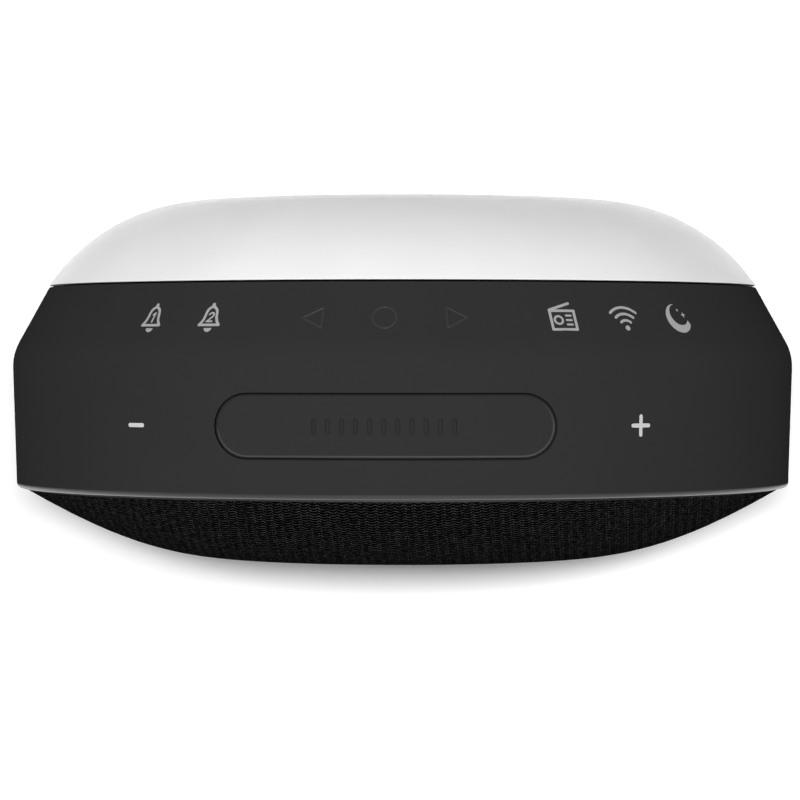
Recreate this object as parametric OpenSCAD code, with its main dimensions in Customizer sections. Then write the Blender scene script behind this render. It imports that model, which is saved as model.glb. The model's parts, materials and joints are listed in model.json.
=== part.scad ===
// Round bedside clock radio: a drum lying on its side, cut flat underneath.
// The cloth-covered front with the display faces -Y, the light dome is at the back,
// and the keys lie along the top of the band. Millimetres, +Z up, origin on the table.

/* [Body] */
// Radius of the drum at the crease of the band
crease_r = 91.6; // [84:0.1:102]
// How much of the drum is cut away flat underneath
base_cut = 25.5; // [22:0.5:30]
// How much smaller the band is at its front rim than at the crease
rim_taper = 1; // [0.6:0.1:2]
// How much smaller the band is at its rear rim than at the crease
strip_taper = 8.6; // [7.6:0.1:10]
// Depth of the band from its front rim to the crease
band_depth = 31.15; // [29:0.05:36]
// Depth of the slanted key strip from the crease to the rear rim
strip_depth = 15.55; // [14:0.05:18]
// Wall of the band
wall = 2.6; // [2.2:0.1:3]
// Thickness of the band's flat floor
floor_t = 3; // [2.6:0.1:4]
// Radius that eases the crease
crease_ease = 12; // [4:0.5:12]
// Radius that eases the front rim
rim_ease = 1.2; // [0.4:0.1:1.6]

/* [Foot] */
// Distance of the foot's ends from the edge of the flat underside
foot_margin = 4; // [3:0.5:16]
// Width of the rubber foot
foot_w = 34; // [26:1:38]
// How far the foot stands below the body
foot_proud = 1.5; // [1:0.1:2]
// How deep the foot sits in its pocket
foot_pocket = 1; // [0.6:0.1:1.4]

/* [Front grille] */
// Depth of the grille in front of the band
grille_depth = 16.4; // [14:0.1:19]
// Width of the band's rim round the cloth
rim_lip = 2.6; // [2.2:0.1:3.2]
// Flat of the grille outside the corners of the display
grille_flat_margin = 1.5; // [1:0.1:4]
// Slope of the grille at its edge, in degrees
grille_edge_angle = 30; // [26:1:36]
// Shadow gap between the band's rim and the cloth
rim_gap = 0.5; // [0.3:0.1:0.8]
// Thickness of the cloth
cloth_t = 0.8; // [0.5:0.1:1]
// Thickness of the moulded grille under the cloth
grille_t = 2; // [1.6:0.1:2.4]
// Width of a sound slot
slot_w = 3; // [2:0.1:3.4]
// Pitch of the sound slots
slot_pitch = 5.2; // [4.8:0.1:6]
// How far the sound slots reach past a loudspeaker's opening
sound_margin = 1; // [0.6:0.1:1.6]

/* [Light dome] */
// Depth of the light dome behind the band
dome_depth = 20.2; // [18:0.1:23]
// Flat of the dome's back outside the socket panel
dome_flat_margin = 2.8; // [2:0.1:6]
// Slope of the dome at its edge, in degrees
dome_edge_angle = 57; // [54:1:60]
// Thickness of the dome
dome_t = 2.2; // [1.8:0.1:2.6]
// Shadow gap between the band and the dome
seam_gap = 0.4; // [0.3:0.1:0.6]
// Length of the dome's skirt inside the band
skirt_l = 4; // [3:0.1:5]
// Number of light emitters behind the dome
led_count = 12; // [8:1:16]

/* [Keys] */
// Radius of a round key
key_r = 5; // [4.5:0.1:5.4]
// Running gap round a key
key_gap = 0.08; // [0.05:0.01:0.1]
// Travel of a round key
key_travel = 0.4; // [0.2:0.05:0.6]
// Angle between neighbouring keys round the drum
key_pitch = 10.2; // [9.6:0.1:10.8]
// Angle from the top to the first key of each side group
side_key_angle = 25.8; // [25:0.1:27]
// Length of the snooze bar's opening
snooze_l = 73.6; // [68:0.1:74]
// Width of the snooze bar's opening
snooze_w = 14.3; // [12:0.1:15]
// Distance of each volume key's middle from the end of the snooze bar
volume_gap = 18.3; // [17:0.1:21]
// Distance of the snooze bar's middle behind the front rim
snooze_setback = 15.65; // [14:0.05:17]
// Gap round the snooze bar
snooze_gap = 0.35; // [0.25:0.05:0.5]
// Travel of the snooze bar
snooze_travel = 0.8; // [0.4:0.1:1]

/* [Display] */
// Width of the display window
window_w = 66; // [60:1:68]
// Height of the display window
window_h = 36; // [32:1:38]
// Width of the display's frame round the window
bezel_w = 3; // [2.4:0.1:3.4]
// Thickness of the window
lens_t = 2.2; // [1.6:0.1:2.6]
// Height of a digit
digit_h = 22; // [16:1:24]

/* [Loudspeakers] */
// Clearance of each loudspeaker in its room between the display and the rim
driver_gap = 1.75; // [1.5:0.05:3]
// Width of the loudspeaker's mounting ring
ring_w = 7; // [6:0.1:7.6]
// Travel of the cone each way
cone_travel = 1.5; // [0.5:0.1:2]

/* [Rear sockets] */
// Width of the socket panel
panel_w = 58; // [56:1:60]
// Height of the socket panel
panel_h = 15; // [14:0.5:16]
// Height of the socket panel below the drum's axis
panel_drop = 26; // [24:0.5:27]

/* [Hidden] */
$fn = 72;
DRUM_SIDES = 288;

// Angle from the top to each volume key
volume_angle = asin((snooze_l / 2 + volume_gap) / crease_r);

// Each side's name and the sign of its x
SIDES = [["left", -1], ["right", 1]];
DRIVER_PIECES = ["frame", "magnet", "surround", "cone", "dust_cap", "voice_coil"];
// Each round key's name, its angle from the top, and whether it lies on the slanted strip
KEYS = [
    ["key_alarm_1", -side_key_angle - key_pitch, true],
    ["key_alarm_2", -side_key_angle, true],
    ["key_previous", -key_pitch, true],
    ["key_play", 0, true],
    ["key_next", key_pitch, true],
    ["key_radio", side_key_angle, true],
    ["key_wireless", side_key_angle + key_pitch, true],
    ["key_sleep", side_key_angle + 2 * key_pitch, true],
    ["key_volume_down", -volume_angle, false],
    ["key_volume_up", volume_angle, false]];

// Every piece, and the one that is drawn

// Colours
SOFT_BLACK = "#343434";
KEY_BLACK = "#3a3a3a";
CLOTH_BLACK = "#161616";
SHELL_WHITE = "#e2e3e4";
INNER_BLACK = "#222222";
BOARD_GREEN = "#1f5a3a";
STEEL = "#b4b6b8";
COPPER = "#b8733d";
SMOKED = "#0c0d10";
LIT = "#f4f6ff";

// Fits
slip = 0.2;
soft_gap = 0.3;
screw_slip = 0.1;
overlap = 0.5;
reach = 4 * crease_r;

// Places along the drum's axis, forward positive, with the middle of the depth at 0
depth = grille_depth + band_depth + strip_depth + dome_depth;
f_front = depth / 2;
f_rim = f_front - grille_depth;
f_crease = f_rim - band_depth;
f_seam = f_crease - strip_depth;
f_back = -depth / 2;
f_cloth = f_rim + rim_gap;
f_dome = f_seam - seam_gap;

// The band's skin: a draughted wall and a slanted strip
front_rim_r = crease_r - rim_taper;
rear_rim_r = crease_r - strip_taper;
draft = atan2(rim_taper, band_depth);
slant = atan2(strip_taper, strip_depth);
function wall_r(f, d) = crease_r - (f - f_crease) * tan(draft) - d / cos(draft);
function strip_r(f, d) = crease_r - (f_crease - f) * tan(slant) - d / cos(slant);
function corner_f(d) = f_crease + d * (1 / cos(slant) - 1 / cos(draft)) / (tan(draft) + tan(slant));
ease_f = corner_f(crease_ease);
ease_r = wall_r(ease_f, crease_ease);
top_r = ease_r + crease_ease;
base_drop = top_r - base_cut;
axis_h = base_drop + foot_proud;
foot_f = (f_rim + f_seam) / 2;
base_half = sqrt(pow(strip_r(foot_f - foot_w / 2, 0), 2) - pow(base_drop, 2));
foot_l = 2 * (base_half - foot_margin);

// Points of the skin at depth d below the surface, from place f0 back to place f1
ARC_STEPS = 5;
function corner(d) = d < crease_ease - 1
    ? [for (i = [0 : ARC_STEPS]) let (a = draft - (draft + slant) * i / ARC_STEPS)
        [ease_r + (crease_ease - d) * cos(a), ease_f + (crease_ease - d) * sin(a)]]
    : [[wall_r(corner_f(d), d), corner_f(d)]];
function skin(d, f0, f1) = concat([[wall_r(f0, d), f0]], corner(d), [[strip_r(f1, d), f1]]);

// A dome's curve: from its edge, at its edge slope, to its flat middle
DOME_STEPS = 14;
HANDLE = 0.35;
function bezier(p, t) = pow(1 - t, 3) * p[0] + 3 * t * pow(1 - t, 2) * p[1]
    + 3 * t * t * (1 - t) * p[2] + pow(t, 3) * p[3];
function bezier_slope(p, t) = pow(1 - t, 2) * (p[1] - p[0]) + 2 * t * (1 - t) * (p[2] - p[1])
    + t * t * (p[3] - p[2]);
function dome_handles(edge_r, flat_r, h, angle) =
    let (l = HANDLE * norm([edge_r - flat_r, h]))
    [[edge_r, 0], [edge_r - l * cos(angle), l * sin(angle)], [flat_r + l, h], [flat_r, h]];
function dome_curve(p, d) = [for (i = [0 : DOME_STEPS])
    let (t = i / DOME_STEPS, v = bezier_slope(p, t), n = [v[1], -v[0]] / norm(v)) bezier(p, t) - d * n];

// Screws
screw_r = 1.1;
head_r = 2.2;
head_h = 1.5;
plate_screw_l = 10;
bracket_screw_l = 7;
small_screw_r = 0.9;
small_head_r = 1.6;
small_head_h = 1.1;
small_screw_l = 5;

// Display
bezel_out_w = window_w + 2 * bezel_w;
bezel_out_h = window_h + 2 * bezel_w;
window_corner = 6;
bezel_corner = window_corner + bezel_w;
lens_ledge = 0.8;
lens_recess = 0.3;
lens_gap = 1.6;
bezel_recess = 0.3;
panel_t = 3;
panel_inset = lens_ledge + slip;
f_bezel = f_front - bezel_recess;
f_display_board = f_bezel - lens_recess - lens_t - lens_gap - panel_t;
display_board_t = 1.6;
segment_t = 0.4;
colon_half = 2;
digit_gap = 3.4;
digit_margin = 2;
digit_pitch = (window_w - 2 * panel_inset - 2 * digit_margin - 2 * colon_half + digit_gap) / 4;
digit_w = digit_pitch - digit_gap;
segment_w = digit_h * 0.115;
segment_gap = 0.35;

// Front baffle and the grille, which is flat in front of the display
grille_edge_r = front_rim_r - rim_lip;
grille_flat_r = norm([bezel_out_w / 2 - bezel_corner, bezel_out_h / 2 - bezel_corner])
    + bezel_corner + grille_flat_margin;
grille_curve = dome_handles(grille_edge_r, grille_flat_r, f_front - f_cloth, grille_edge_angle);
grille_skirt_r = grille_edge_r - cloth_t - slip;
grille_skirt_step = 1;
grille_skirt_in_r = grille_skirt_r - grille_t - grille_skirt_step;
baffle_t = 2.5;
baffle_setback = 3;
f_baffle = f_rim - baffle_setback;
f_baffle_back = f_baffle - baffle_t;
baffle_r = wall_r(f_baffle, wall) - soft_gap;
tray_wall = 2;
tray_inset = 0.5;
tray_w = bezel_out_w - 2 * tray_inset;
tray_h = bezel_out_h - 2 * tray_inset;

// Rear sockets, spaced evenly between the legs of their panel, and the dome, which is flat round them
panel_recess = 0.6;
panel_t_rear = 2.4;
panel_flange = 2;
panel_flange_t = 1.6;
panel_leg_r = 2.5;
socket_l = 13;
socket_board_t = 1.6;
jack_r = 5;
jack_bore_r = 3.2;
jack_bore_l = 10;
jack_pin_r = 1.05;
jack_pin_l = 8.5;
usb_w = 14.4;
usb_h = 6.8;
usb_wall = 0.6;
usb_floor = 2;
usb_corner = 0.6;
tongue_w = 11;
tongue_h = 1.8;
tongue_l = 9;
tongue_gap = 0.6;
socket_gap = (panel_w - 4 * panel_leg_r - 2 * jack_r - 2 * usb_w) / 4;
jack_x = 2 * panel_leg_r - panel_w / 2 + socket_gap + jack_r;
usb_x = [for (i = [0, 1]) jack_x + jack_r + socket_gap + usb_w / 2 + i * (usb_w + socket_gap)];
f_panel = f_back + panel_recess;
f_flange = f_back + dome_t;
f_flange_in = f_flange + panel_flange_t;
f_socket_board = f_panel + socket_l + socket_board_t;
dome_flat_r = norm([(panel_w - panel_h) / 2, panel_drop]) + panel_h / 2 + panel_flange + dome_flat_margin;
light_curve = dome_handles(rear_rim_r, dome_flat_r, f_dome - f_back, dome_edge_angle);
dome_lip = 1;
dome_lip_l = 2;

// Depths below the skin, from the keys down to the bracket that carries their switches
press_gap = 0.1;
flange_gap = 0.35;
key_flange_w = 1;
key_flange_r = key_r + key_flange_w;
key_flange_t = 1;
key_flange_d = wall + flange_gap;
plunger_d = 7;
key_stem_r = 2;
key_stem_d = plunger_d - key_travel - press_gap;
snooze_flange = 1.2;
snooze_skin_t = wall + flange_gap + key_flange_t;
snooze_stem_d = plunger_d - snooze_travel - press_gap;
snooze_stem_angle = 10;
plunger_h = 0.6;
plunger_r = 1.7;
switch_w = 6;
switch_h = 3;
circuit_d = plunger_d + plunger_h + switch_h;
circuit_t = 0.5;
bracket_d = circuit_d + circuit_t;
bracket_t = 2;
bracket_end_angle = 8;
bracket_angle = side_key_angle + 2 * key_pitch + bracket_end_angle;
key_f = (f_crease + f_seam) / 2;
snooze_f = f_rim - snooze_setback;
bracket_gap = 1.2;
bracket_edge = 2;
bracket_f0 = f_baffle_back - bracket_gap;
bracket_f1 = key_f + circuit_d * sin(slant) - (switch_w / 2 + bracket_edge) * cos(slant);
bracket_post_r = 2.5;
bracket_post_angles = [(asin(snooze_l / 2 / crease_r) + volume_angle) / 2, volume_angle + key_pitch];

// Rear chassis, light board, main board and the bosses between the two plates
chassis_t = 1.6;
skirt_r = strip_r(f_seam, wall) - slip;
f_chassis = f_dome + skirt_l + chassis_t;
boss_r = 4.2;
f_chassis_back = f_chassis - chassis_t;
head_margin = 1;
boss_ring_r = skirt_r - dome_t - head_r - head_margin;
boss_angles = [64, 130];
rib_t = 2.4;
led_board_t = 1.2;
led_board_w = 18;
led_inset = 12;
led_ring_r = boss_ring_r - head_r - led_inset;
led_size = [3.5, 2.8, 1.4];
board_w = 96;
board_h = 56;
board_t = 1.6;
board_corner = 3;
board_post_r = 3;
board_post_h = 6.5;
board_margin = 5;
board_grid = board_w / 24;
f_board = f_chassis + board_post_h + board_t;

// Loudspeaker, with its own axis forward and its mounting ring's back at 0
driver_in = tray_w / 2 + driver_gap;
driver_out = grille_skirt_in_r - driver_gap;
driver_r = (driver_out - driver_in) / 2;
driver_x = (driver_out + driver_in) / 2;
gasket_t = 0.8;
ring_t = 2;
ring_in_r = driver_r - ring_w;
flange_w = 5.1;
basket_r = driver_r - flange_w;
basket_depth = 9;
basket_t = 1.2;
basket_floor_w = 4;
vent_w = 8;
vent_floor = 2.5;
vent_h = 5;
magnet_step = 0.5;
magnet_r = ring_in_r - magnet_step;
coil_r = 5;
coil_t = 0.5;
coil_gap = 0.3;
cone_t = 0.6;
cone_depth = 6;
coil_overlap = 0.5;
coil_engaged = cone_travel + coil_overlap;
coil_depth = basket_depth + ring_t - cone_depth + coil_engaged;
pole_floor = 2.5;
gap_floor = 6;
magnet_t = pole_floor + coil_engaged + cone_travel + gap_floor;
roll_r = 2.4;
roll_t = 0.5;
roll_foot = 0.9;
roll_lap = 0.1;
roll_mid_r = ring_in_r - roll_lap;
cone_r = roll_mid_r - roll_r - soft_gap;
cap_margin = 1.2;
cap_crown = 1.8;
driver_screw_inset = 2.5;
driver_screw_ring_r = driver_r - driver_screw_inset;
f_driver = f_baffle + gasket_t;

// Ribbons and leads, and the main board's connectors that they leave from: x, y, width, height, thickness
ribbon_t = 0.6;
ribbon_slack = 8;
lead_w = 2;
DISPLAY_SOCKET = [0, 5.5, 5, 1, 0.6] * board_grid;
SPEAKER_SOCKET = [9, -0.5, 1, 3, 0.75] * board_grid;
display_ribbon_w = 16;
display_ribbon_inset = 6;
display_ribbon_y = tray_h / 2 - tray_wall - display_ribbon_inset;
port_ribbon_w = 12;
port_ribbon_y = -panel_drop;
port_slot = 1;

// Frames and plain shapes

// Children are drawn in the drum's own frame: x right, y up from the axis, z forward
module drum() {
    translate([0, 0, axis_h]) rotate([90, 0, 0]) children();
}

// Keeps what lies above the flat underside, or above a level inset from it
module above_base(inset) {
    intersection() {
        children();
        translate([-reach / 2, inset - base_drop, -reach / 2]) cube(reach);
    }
}

module turned(points) {
    rotate_extrude($fn = DRUM_SIDES) polygon(points);
}

module disc(r, f0, f1) {
    translate([0, 0, min(f0, f1)]) cylinder(r = r, h = abs(f1 - f0));
}

function rounded_rect(w, h, r) = [for (c = [0 : 3], i = [0 : 6]) let (a = 90 * c + 15 * i)
    [(w / 2 - r) * (c == 0 || c == 3 ? 1 : -1) + r * cos(a), (h / 2 - r) * (c < 2 ? 1 : -1) + r * sin(a)]];

function stadium(l, w) = [for (end = [0, 1], i = [0 : 16]) let (a = 180 * end - 90 + 180 * i / 16)
    [(l - w) / 2 * (end == 0 ? 1 : -1) + w / 2 * cos(a), w / 2 * sin(a)]];

module plate(points, f0, f1) {
    translate([0, 0, min(f0, f1)]) linear_extrude(abs(f1 - f0)) polygon(points);
}

// The solid inside the band's skin at depth d
module band_core(d, f0, f1) {
    turned(concat([[0, f1], [0, f0]], skin(d, f0, f1)));
}

// A solid dome with its skin at depth d, rising from place f0 in the direction of the sign,
// with its base drawn out below that place by the sunk length
module dome_core(p, d, f0, sign, sunk = 0) {
    curve = dome_curve(p, d);
    outline = concat([[0, -sunk], [curve[0][0], -sunk], [curve[0][0], 0]],
        [for (q = curve) if (q[1] > 0) q], [[0, curve[DOME_STEPS][1]]]);
    turned([for (q = outline) [q[0], f0 + sign * q[1]]]);
}

// Children stand on the band's wall, or on the slanted strip, with z outward
module on_wall(angle, f) {
    rotate([0, 0, -angle]) translate([0, wall_r(f, 0), f]) rotate([draft - 90, 0, 0]) children();
}

module on_strip(angle, f) {
    rotate([0, 0, -angle]) translate([0, strip_r(f, 0), f]) rotate([-90 - slant, 0, 0]) children();
}

module at_key(key) {
    if (key[2]) on_strip(key[1], key_f) children();
    else on_wall(key[1], snooze_f) children();
}

// A round bar along z between two depths below the skin
module post(r, d0, d1) {
    translate([0, 0, -max(d0, d1)]) cylinder(r = r, h = abs(d1 - d0));
}

module at_bosses() {
    for (side = SIDES, a = boss_angles)
        rotate([0, 0, -side[1] * a]) translate([0, boss_ring_r, 0]) children();
}

module at_bracket_posts() {
    for (side = SIDES, a = bracket_post_angles) on_wall(side[1] * a, snooze_f) children();
}

module at_snooze_stems() {
    for (side = SIDES) on_wall(side[1] * snooze_stem_angle, snooze_f) children();
}

module at_board_posts() {
    for (x = [-1, 1], y = [-1, 1])
        translate([x * (board_w / 2 - board_margin), y * (board_h / 2 - board_margin), 0]) children();
}

// A screw along z whose head sits on z = 0 and whose shank goes down
module screw(r, head_r, head_h, l) {
    translate([0, 0, -l]) cylinder(r = r, h = l);
    cylinder(r = head_r, h = head_h);
}

// Upright bar of the snooze bar's outline, grown all round
module snooze_outline(grow) {
    translate([0, base_drop / 2, snooze_f]) rotate([-90, 0, 0])
        linear_extrude(reach / 2) polygon(stadium(snooze_l + 2 * grow, snooze_w + 2 * grow));
}

// Band, foot and light dome

module band_shell() {
    rim_arc = [for (a = [90 : -30 : 0])
        [front_rim_r - rim_ease + rim_ease * cos(a), f_rim - rim_ease + rim_ease * sin(a)]];
    difference() {
        above_base(0) turned(concat([[0, f_seam], [0, f_rim]], rim_arc, corner(0), [[rear_rim_r, f_seam]]));
        above_base(floor_t) band_core(wall, f_rim + overlap, f_seam - overlap);
    }
}

module band_bosses() {
    intersection() {
        at_bosses() {
            disc(boss_r, f_chassis, f_baffle_back);
            translate([-rib_t / 2, 0, f_chassis]) cube([rib_t, crease_r, f_baffle_back - f_chassis]);
        }
        band_core(wall / 2, f_rim, f_seam);
    }
    at_bracket_posts() post(bracket_post_r, wall / 2, bracket_d);
}

module band_housing() {
    color(SOFT_BLACK) drum() difference() {
        union() {
            band_shell();
            band_bosses();
        }
        for (key = KEYS) at_key(key) post(key_r + key_gap, -wall, wall + overlap);
        difference() {
            snooze_outline(0);
            band_core(wall + overlap, f_rim, f_seam);
        }
        at_bosses() disc(screw_r + screw_slip, f_chassis - overlap, f_baffle);
        at_bracket_posts() post(screw_r + screw_slip, wall + overlap, bracket_d + overlap);
        translate([0, -base_drop, foot_f]) rotate([-90, 0, 0])
            linear_extrude(2 * foot_pocket, center = true) polygon(stadium(foot_l, foot_w));
    }
}

module foot_pad() {
    color(INNER_BLACK) drum() translate([0, -axis_h, foot_f]) rotate([-90, 0, 0])
        linear_extrude(foot_proud + foot_pocket) polygon(stadium(foot_l - 2 * slip, foot_w - 2 * slip));
}

module rear_light_dome() {
    skirt_in = skirt_r - dome_t;
    color(SHELL_WHITE) drum() difference() {
        union() {
            difference() {
                above_base(0) dome_core(light_curve, 0, f_dome, -1);
                above_base(dome_t) dome_core(light_curve, dome_t, f_dome, -1, overlap);
            }
            above_base(floor_t + slip) turned([[skirt_in, f_dome + skirt_l], [skirt_r, f_dome + skirt_l],
                [skirt_r, f_dome], [rear_rim_r - dome_lip, f_dome],
                [rear_rim_r - dome_lip_l, f_dome - dome_lip_l], [skirt_in, f_dome - dome_lip_l]]);
        }
        at_panel()
            plate(stadium(panel_w + 2 * slip, panel_h + 2 * slip), f_back - overlap, f_flange + overlap);
    }
}

// Rear chassis with the light emitters and the main board

module rear_chassis() {
    color(SHELL_WHITE) drum() difference() {
        union() {
            above_base(floor_t + slip) disc(skirt_r, f_chassis_back, f_chassis);
            at_board_posts() disc(board_post_r, f_chassis - overlap, f_board - board_t);
        }
        at_bosses() disc(screw_r + screw_slip, f_chassis_back - overlap, f_chassis + overlap);
        at_board_posts() disc(small_screw_r + screw_slip, f_chassis, f_board);
        translate([0, port_ribbon_y, 0])
            plate(stadium(port_ribbon_w + 2 * port_slot, ribbon_t + 2 * port_slot), f_chassis_back - overlap,
                f_chassis + overlap);
    }
}

module chassis_screws() {
    color(STEEL) drum() at_bosses() translate([0, 0, f_chassis_back]) rotate([180, 0, 0])
        screw(screw_r, head_r, head_h, plate_screw_l);
}

module led_board() {
    color(SHELL_WHITE) drum() above_base(floor_t + dome_t) difference() {
        disc(led_ring_r + led_board_w / 2, f_chassis_back - led_board_t, f_chassis_back);
        disc(led_ring_r - led_board_w / 2, f_chassis_back - 2 * led_board_t, f_chassis);
    }
}

module led_chips() {
    place = [-led_size[0] / 2, led_ring_r - led_size[1] / 2, f_chassis_back - led_board_t - led_size[2]];
    color(LIT) drum() for (i = [0 : led_count - 1])
        rotate([0, 0, 360 * i / led_count]) translate(place) cube(led_size);
}

module main_board() {
    color(BOARD_GREEN) drum() difference() {
        plate(rounded_rect(board_w, board_h, board_corner), f_board - board_t, f_board);
        at_board_posts() disc(small_screw_r + screw_slip, f_board - board_t - overlap, f_board + overlap);
    }
}

module board_screws() {
    color(STEEL) drum() at_board_posts() translate([0, 0, f_board])
        screw(small_screw_r, small_head_r, small_head_h, small_screw_l);
}

// A block soldered on the main board: x, y, width, height, thickness
module component(c) {
    translate([c[0] - c[2] / 2, c[1] - c[3] / 2, f_board]) cube([c[2], c[3], c[4]]);
}

// Chips, connectors and capacitors; the chips and capacitors lie on the board's grid
module board_components() {
    chips = [[-5.5, 1.5, 3.5, 3.5, 0.3], [3, 2.5, 2.5, 2.5, 0.3], [3.5, -2.5, 2, 1.5, 0.25],
             [-2, -4, 1.5, 1.25, 0.25], [-5, -5, 3, 1, 0.6]];
    cans = [[6.5, 3], [6.5, 1], [7.5, -3.5], [-8.5, 4]];
    can_r = 0.6;
    color(INNER_BLACK) drum() {
        for (c = chips) component(c * board_grid);
        component(DISPLAY_SOCKET);
        component(SPEAKER_SOCKET);
        mirror([1, 0, 0]) component(SPEAKER_SOCKET);
        for (c = cans) translate([c[0] * board_grid, c[1] * board_grid, f_board])
            cylinder(r = can_r * board_grid, h = board_grid);
    }
}

// Ribbons and leads

// A strip of the given width along x, that follows points of y and place along the axis
module ribbon(points, w) {
    last = len(points) - 1;
    side = [for (i = [0 : last]) let (v = points[min(i + 1, last)] - points[max(i - 1, 0)])
        ribbon_t / 2 * [v[1], -v[0]] / norm(v)];
    ends = [for (i = [0 : last]) i == 0 || i == last ? [ribbon_t / 2 * sign(side[i][0]), 0] : side[i]];
    translate([-w / 2, 0, 0]) rotate([90, 0, 90]) linear_extrude(w)
        polygon(concat([for (i = [0 : last]) points[i] + ends[i]],
            [for (i = [last : -1 : 0]) points[i] - ends[i]]));
}

module display_ribbon() {
    f_from = f_board + DISPLAY_SOCKET[4];
    f_to = f_display_board - display_board_t;
    color(SHELL_WHITE) drum() ribbon([[DISPLAY_SOCKET[1], f_from], [DISPLAY_SOCKET[1], f_from + ribbon_slack],
        [display_ribbon_y, f_baffle_back - ribbon_slack], [display_ribbon_y, f_to]], display_ribbon_w);
}

module port_ribbon() {
    color(SHELL_WHITE) drum()
        ribbon([[port_ribbon_y, f_socket_board], [port_ribbon_y, f_board - board_t]], port_ribbon_w);
}

// Each loudspeaker's lead runs from its connector to the foot of its basket
module speaker_leads() {
    f_from = f_board + SPEAKER_SOCKET[4];
    f_to = f_driver - basket_depth + basket_t;
    x_to = driver_x - magnet_r - soft_gap - ribbon_t / 2;
    color(COPPER) drum() for (side = [0, 1]) mirror([side, 0, 0]) rotate([0, 0, 90]) mirror([0, 1, 0])
        ribbon([[SPEAKER_SOCKET[0], f_from], [SPEAKER_SOCKET[0], f_from + ribbon_slack / 2],
            [x_to, f_to - ribbon_slack / 2], [x_to, f_to]], lead_w);
}

// Sockets in the back of the dome

module at_panel() {
    translate([0, -panel_drop, 0]) children();
}

module at_panel_legs() {
    for (x = [-1, 1]) translate([x * (panel_w / 2 - panel_leg_r), 0, 0]) children();
}

module port_panel() {
    color(INNER_BLACK) drum() at_panel() difference() {
        union() {
            plate(stadium(panel_w, panel_h), f_panel, f_panel + panel_t_rear);
            plate(stadium(panel_w + 2 * panel_flange, panel_h + 2 * panel_flange), f_flange, f_flange_in);
            at_panel_legs() disc(panel_leg_r, f_panel + panel_t_rear / 2, f_socket_board - socket_board_t);
        }
        translate([jack_x, 0, 0]) disc(jack_r + slip, f_panel - overlap, f_flange_in + overlap);
        for (x = usb_x) translate([x, 0, 0])
            plate(rounded_rect(usb_w + 2 * slip, usb_h + 2 * slip, usb_corner + slip), f_panel - overlap,
                f_flange_in + overlap);
    }
}

module port_board() {
    color(BOARD_GREEN) drum() at_panel()
        plate(rounded_rect(panel_w, panel_h, board_corner), f_socket_board - socket_board_t, f_socket_board);
}

module dc_jack() {
    color(INNER_BLACK) drum() at_panel() translate([jack_x, 0, 0]) difference() {
        disc(jack_r, f_panel, f_panel + socket_l);
        disc(jack_bore_r, f_panel - overlap, f_panel + jack_bore_l);
    }
}

module dc_jack_pin() {
    color(STEEL) drum() at_panel() translate([jack_x, 0, 0])
        disc(jack_pin_r, f_panel + jack_bore_l - jack_pin_l, f_panel + jack_bore_l);
}

module usb_sockets() {
    color(STEEL) drum() at_panel() for (x = usb_x) translate([x, 0, 0]) difference() {
        plate(rounded_rect(usb_w, usb_h, usb_corner), f_panel, f_panel + socket_l);
        plate(rounded_rect(usb_w - 2 * usb_wall, usb_h - 2 * usb_wall, usb_corner / 2), f_panel - overlap,
            f_panel + socket_l - usb_floor);
    }
}

module usb_tongues() {
    tongue_y = usb_h / 2 - usb_wall - tongue_gap - tongue_h;
    color(SHELL_WHITE) drum() at_panel() for (x = usb_x)
        translate([x - tongue_w / 2, tongue_y, f_panel + socket_l - usb_floor - tongue_l])
            cube([tongue_w, tongue_h, tongue_l]);
}

// Keys and the bracket that carries their switches

module bracket_sector(d0, d1) {
    f0 = bracket_f0 + overlap;
    f1 = bracket_f1 - overlap;
    rotate([0, 0, 90 - bracket_angle])
        rotate_extrude(angle = 2 * bracket_angle, $fn = DRUM_SIDES) difference() {
            polygon(concat([[0, bracket_f1], [0, bracket_f0]], skin(d0, bracket_f0, bracket_f1)));
            polygon(concat([[-overlap, f1], [-overlap, f0]], skin(d1, f0, f1)));
        }
}

module key_bracket() {
    color(INNER_BLACK) drum() difference() {
        bracket_sector(bracket_d, bracket_d + bracket_t);
        at_bracket_posts() post(screw_r + screw_slip, bracket_d - overlap, bracket_d + bracket_t + overlap);
    }
}

module bracket_screws() {
    color(STEEL) drum() at_bracket_posts()
        translate([0, 0, -bracket_d - bracket_t - screw_slip]) rotate([180, 0, 0])
            screw(screw_r, head_r, head_h, bracket_screw_l);
}

module key_circuit() {
    color(COPPER) drum() difference() {
        bracket_sector(circuit_d, circuit_d + circuit_t);
        at_bracket_posts()
            post(bracket_post_r + soft_gap, circuit_d - overlap, circuit_d + circuit_t + overlap);
    }
}

module tact_switch() {
    translate([-switch_w / 2, -switch_w / 2, -circuit_d]) cube([switch_w, switch_w, switch_h]);
    post(plunger_r, plunger_d, circuit_d - switch_h / 2);
}

module tact_switches() {
    color(STEEL) drum() {
        for (key = KEYS) at_key(key) tact_switch();
        at_snooze_stems() tact_switch();
    }
}

module round_key(key) {
    color(KEY_BLACK) drum() {
        intersection() {
            at_key(key) post(key_r, -wall, key_flange_d + key_flange_t / 2);
            band_core(0, f_rim, f_seam);
        }
        at_key(key) post(key_flange_r, key_flange_d, key_flange_d + key_flange_t);
        at_key(key) post(key_stem_r, key_flange_d, key_stem_d);
    }
}

module snooze_bar() {
    flange_d = snooze_skin_t - key_flange_t;
    color(KEY_BLACK) drum() {
        difference() {
            intersection() {
                snooze_outline(-snooze_gap);
                band_core(0, f_rim, f_seam);
            }
            band_core(snooze_skin_t, f_rim, f_seam);
        }
        difference() {
            intersection() {
                snooze_outline(snooze_flange);
                band_core(flange_d, f_rim, f_seam);
            }
            band_core(snooze_skin_t, f_rim, f_seam);
        }
        at_snooze_stems() post(key_stem_r, flange_d, snooze_stem_d);
    }
}

// Front: baffle, display, grille and cloth

module at_drivers() {
    for (side = SIDES) translate([side[1] * driver_x, 0, 0]) children();
}

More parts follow.
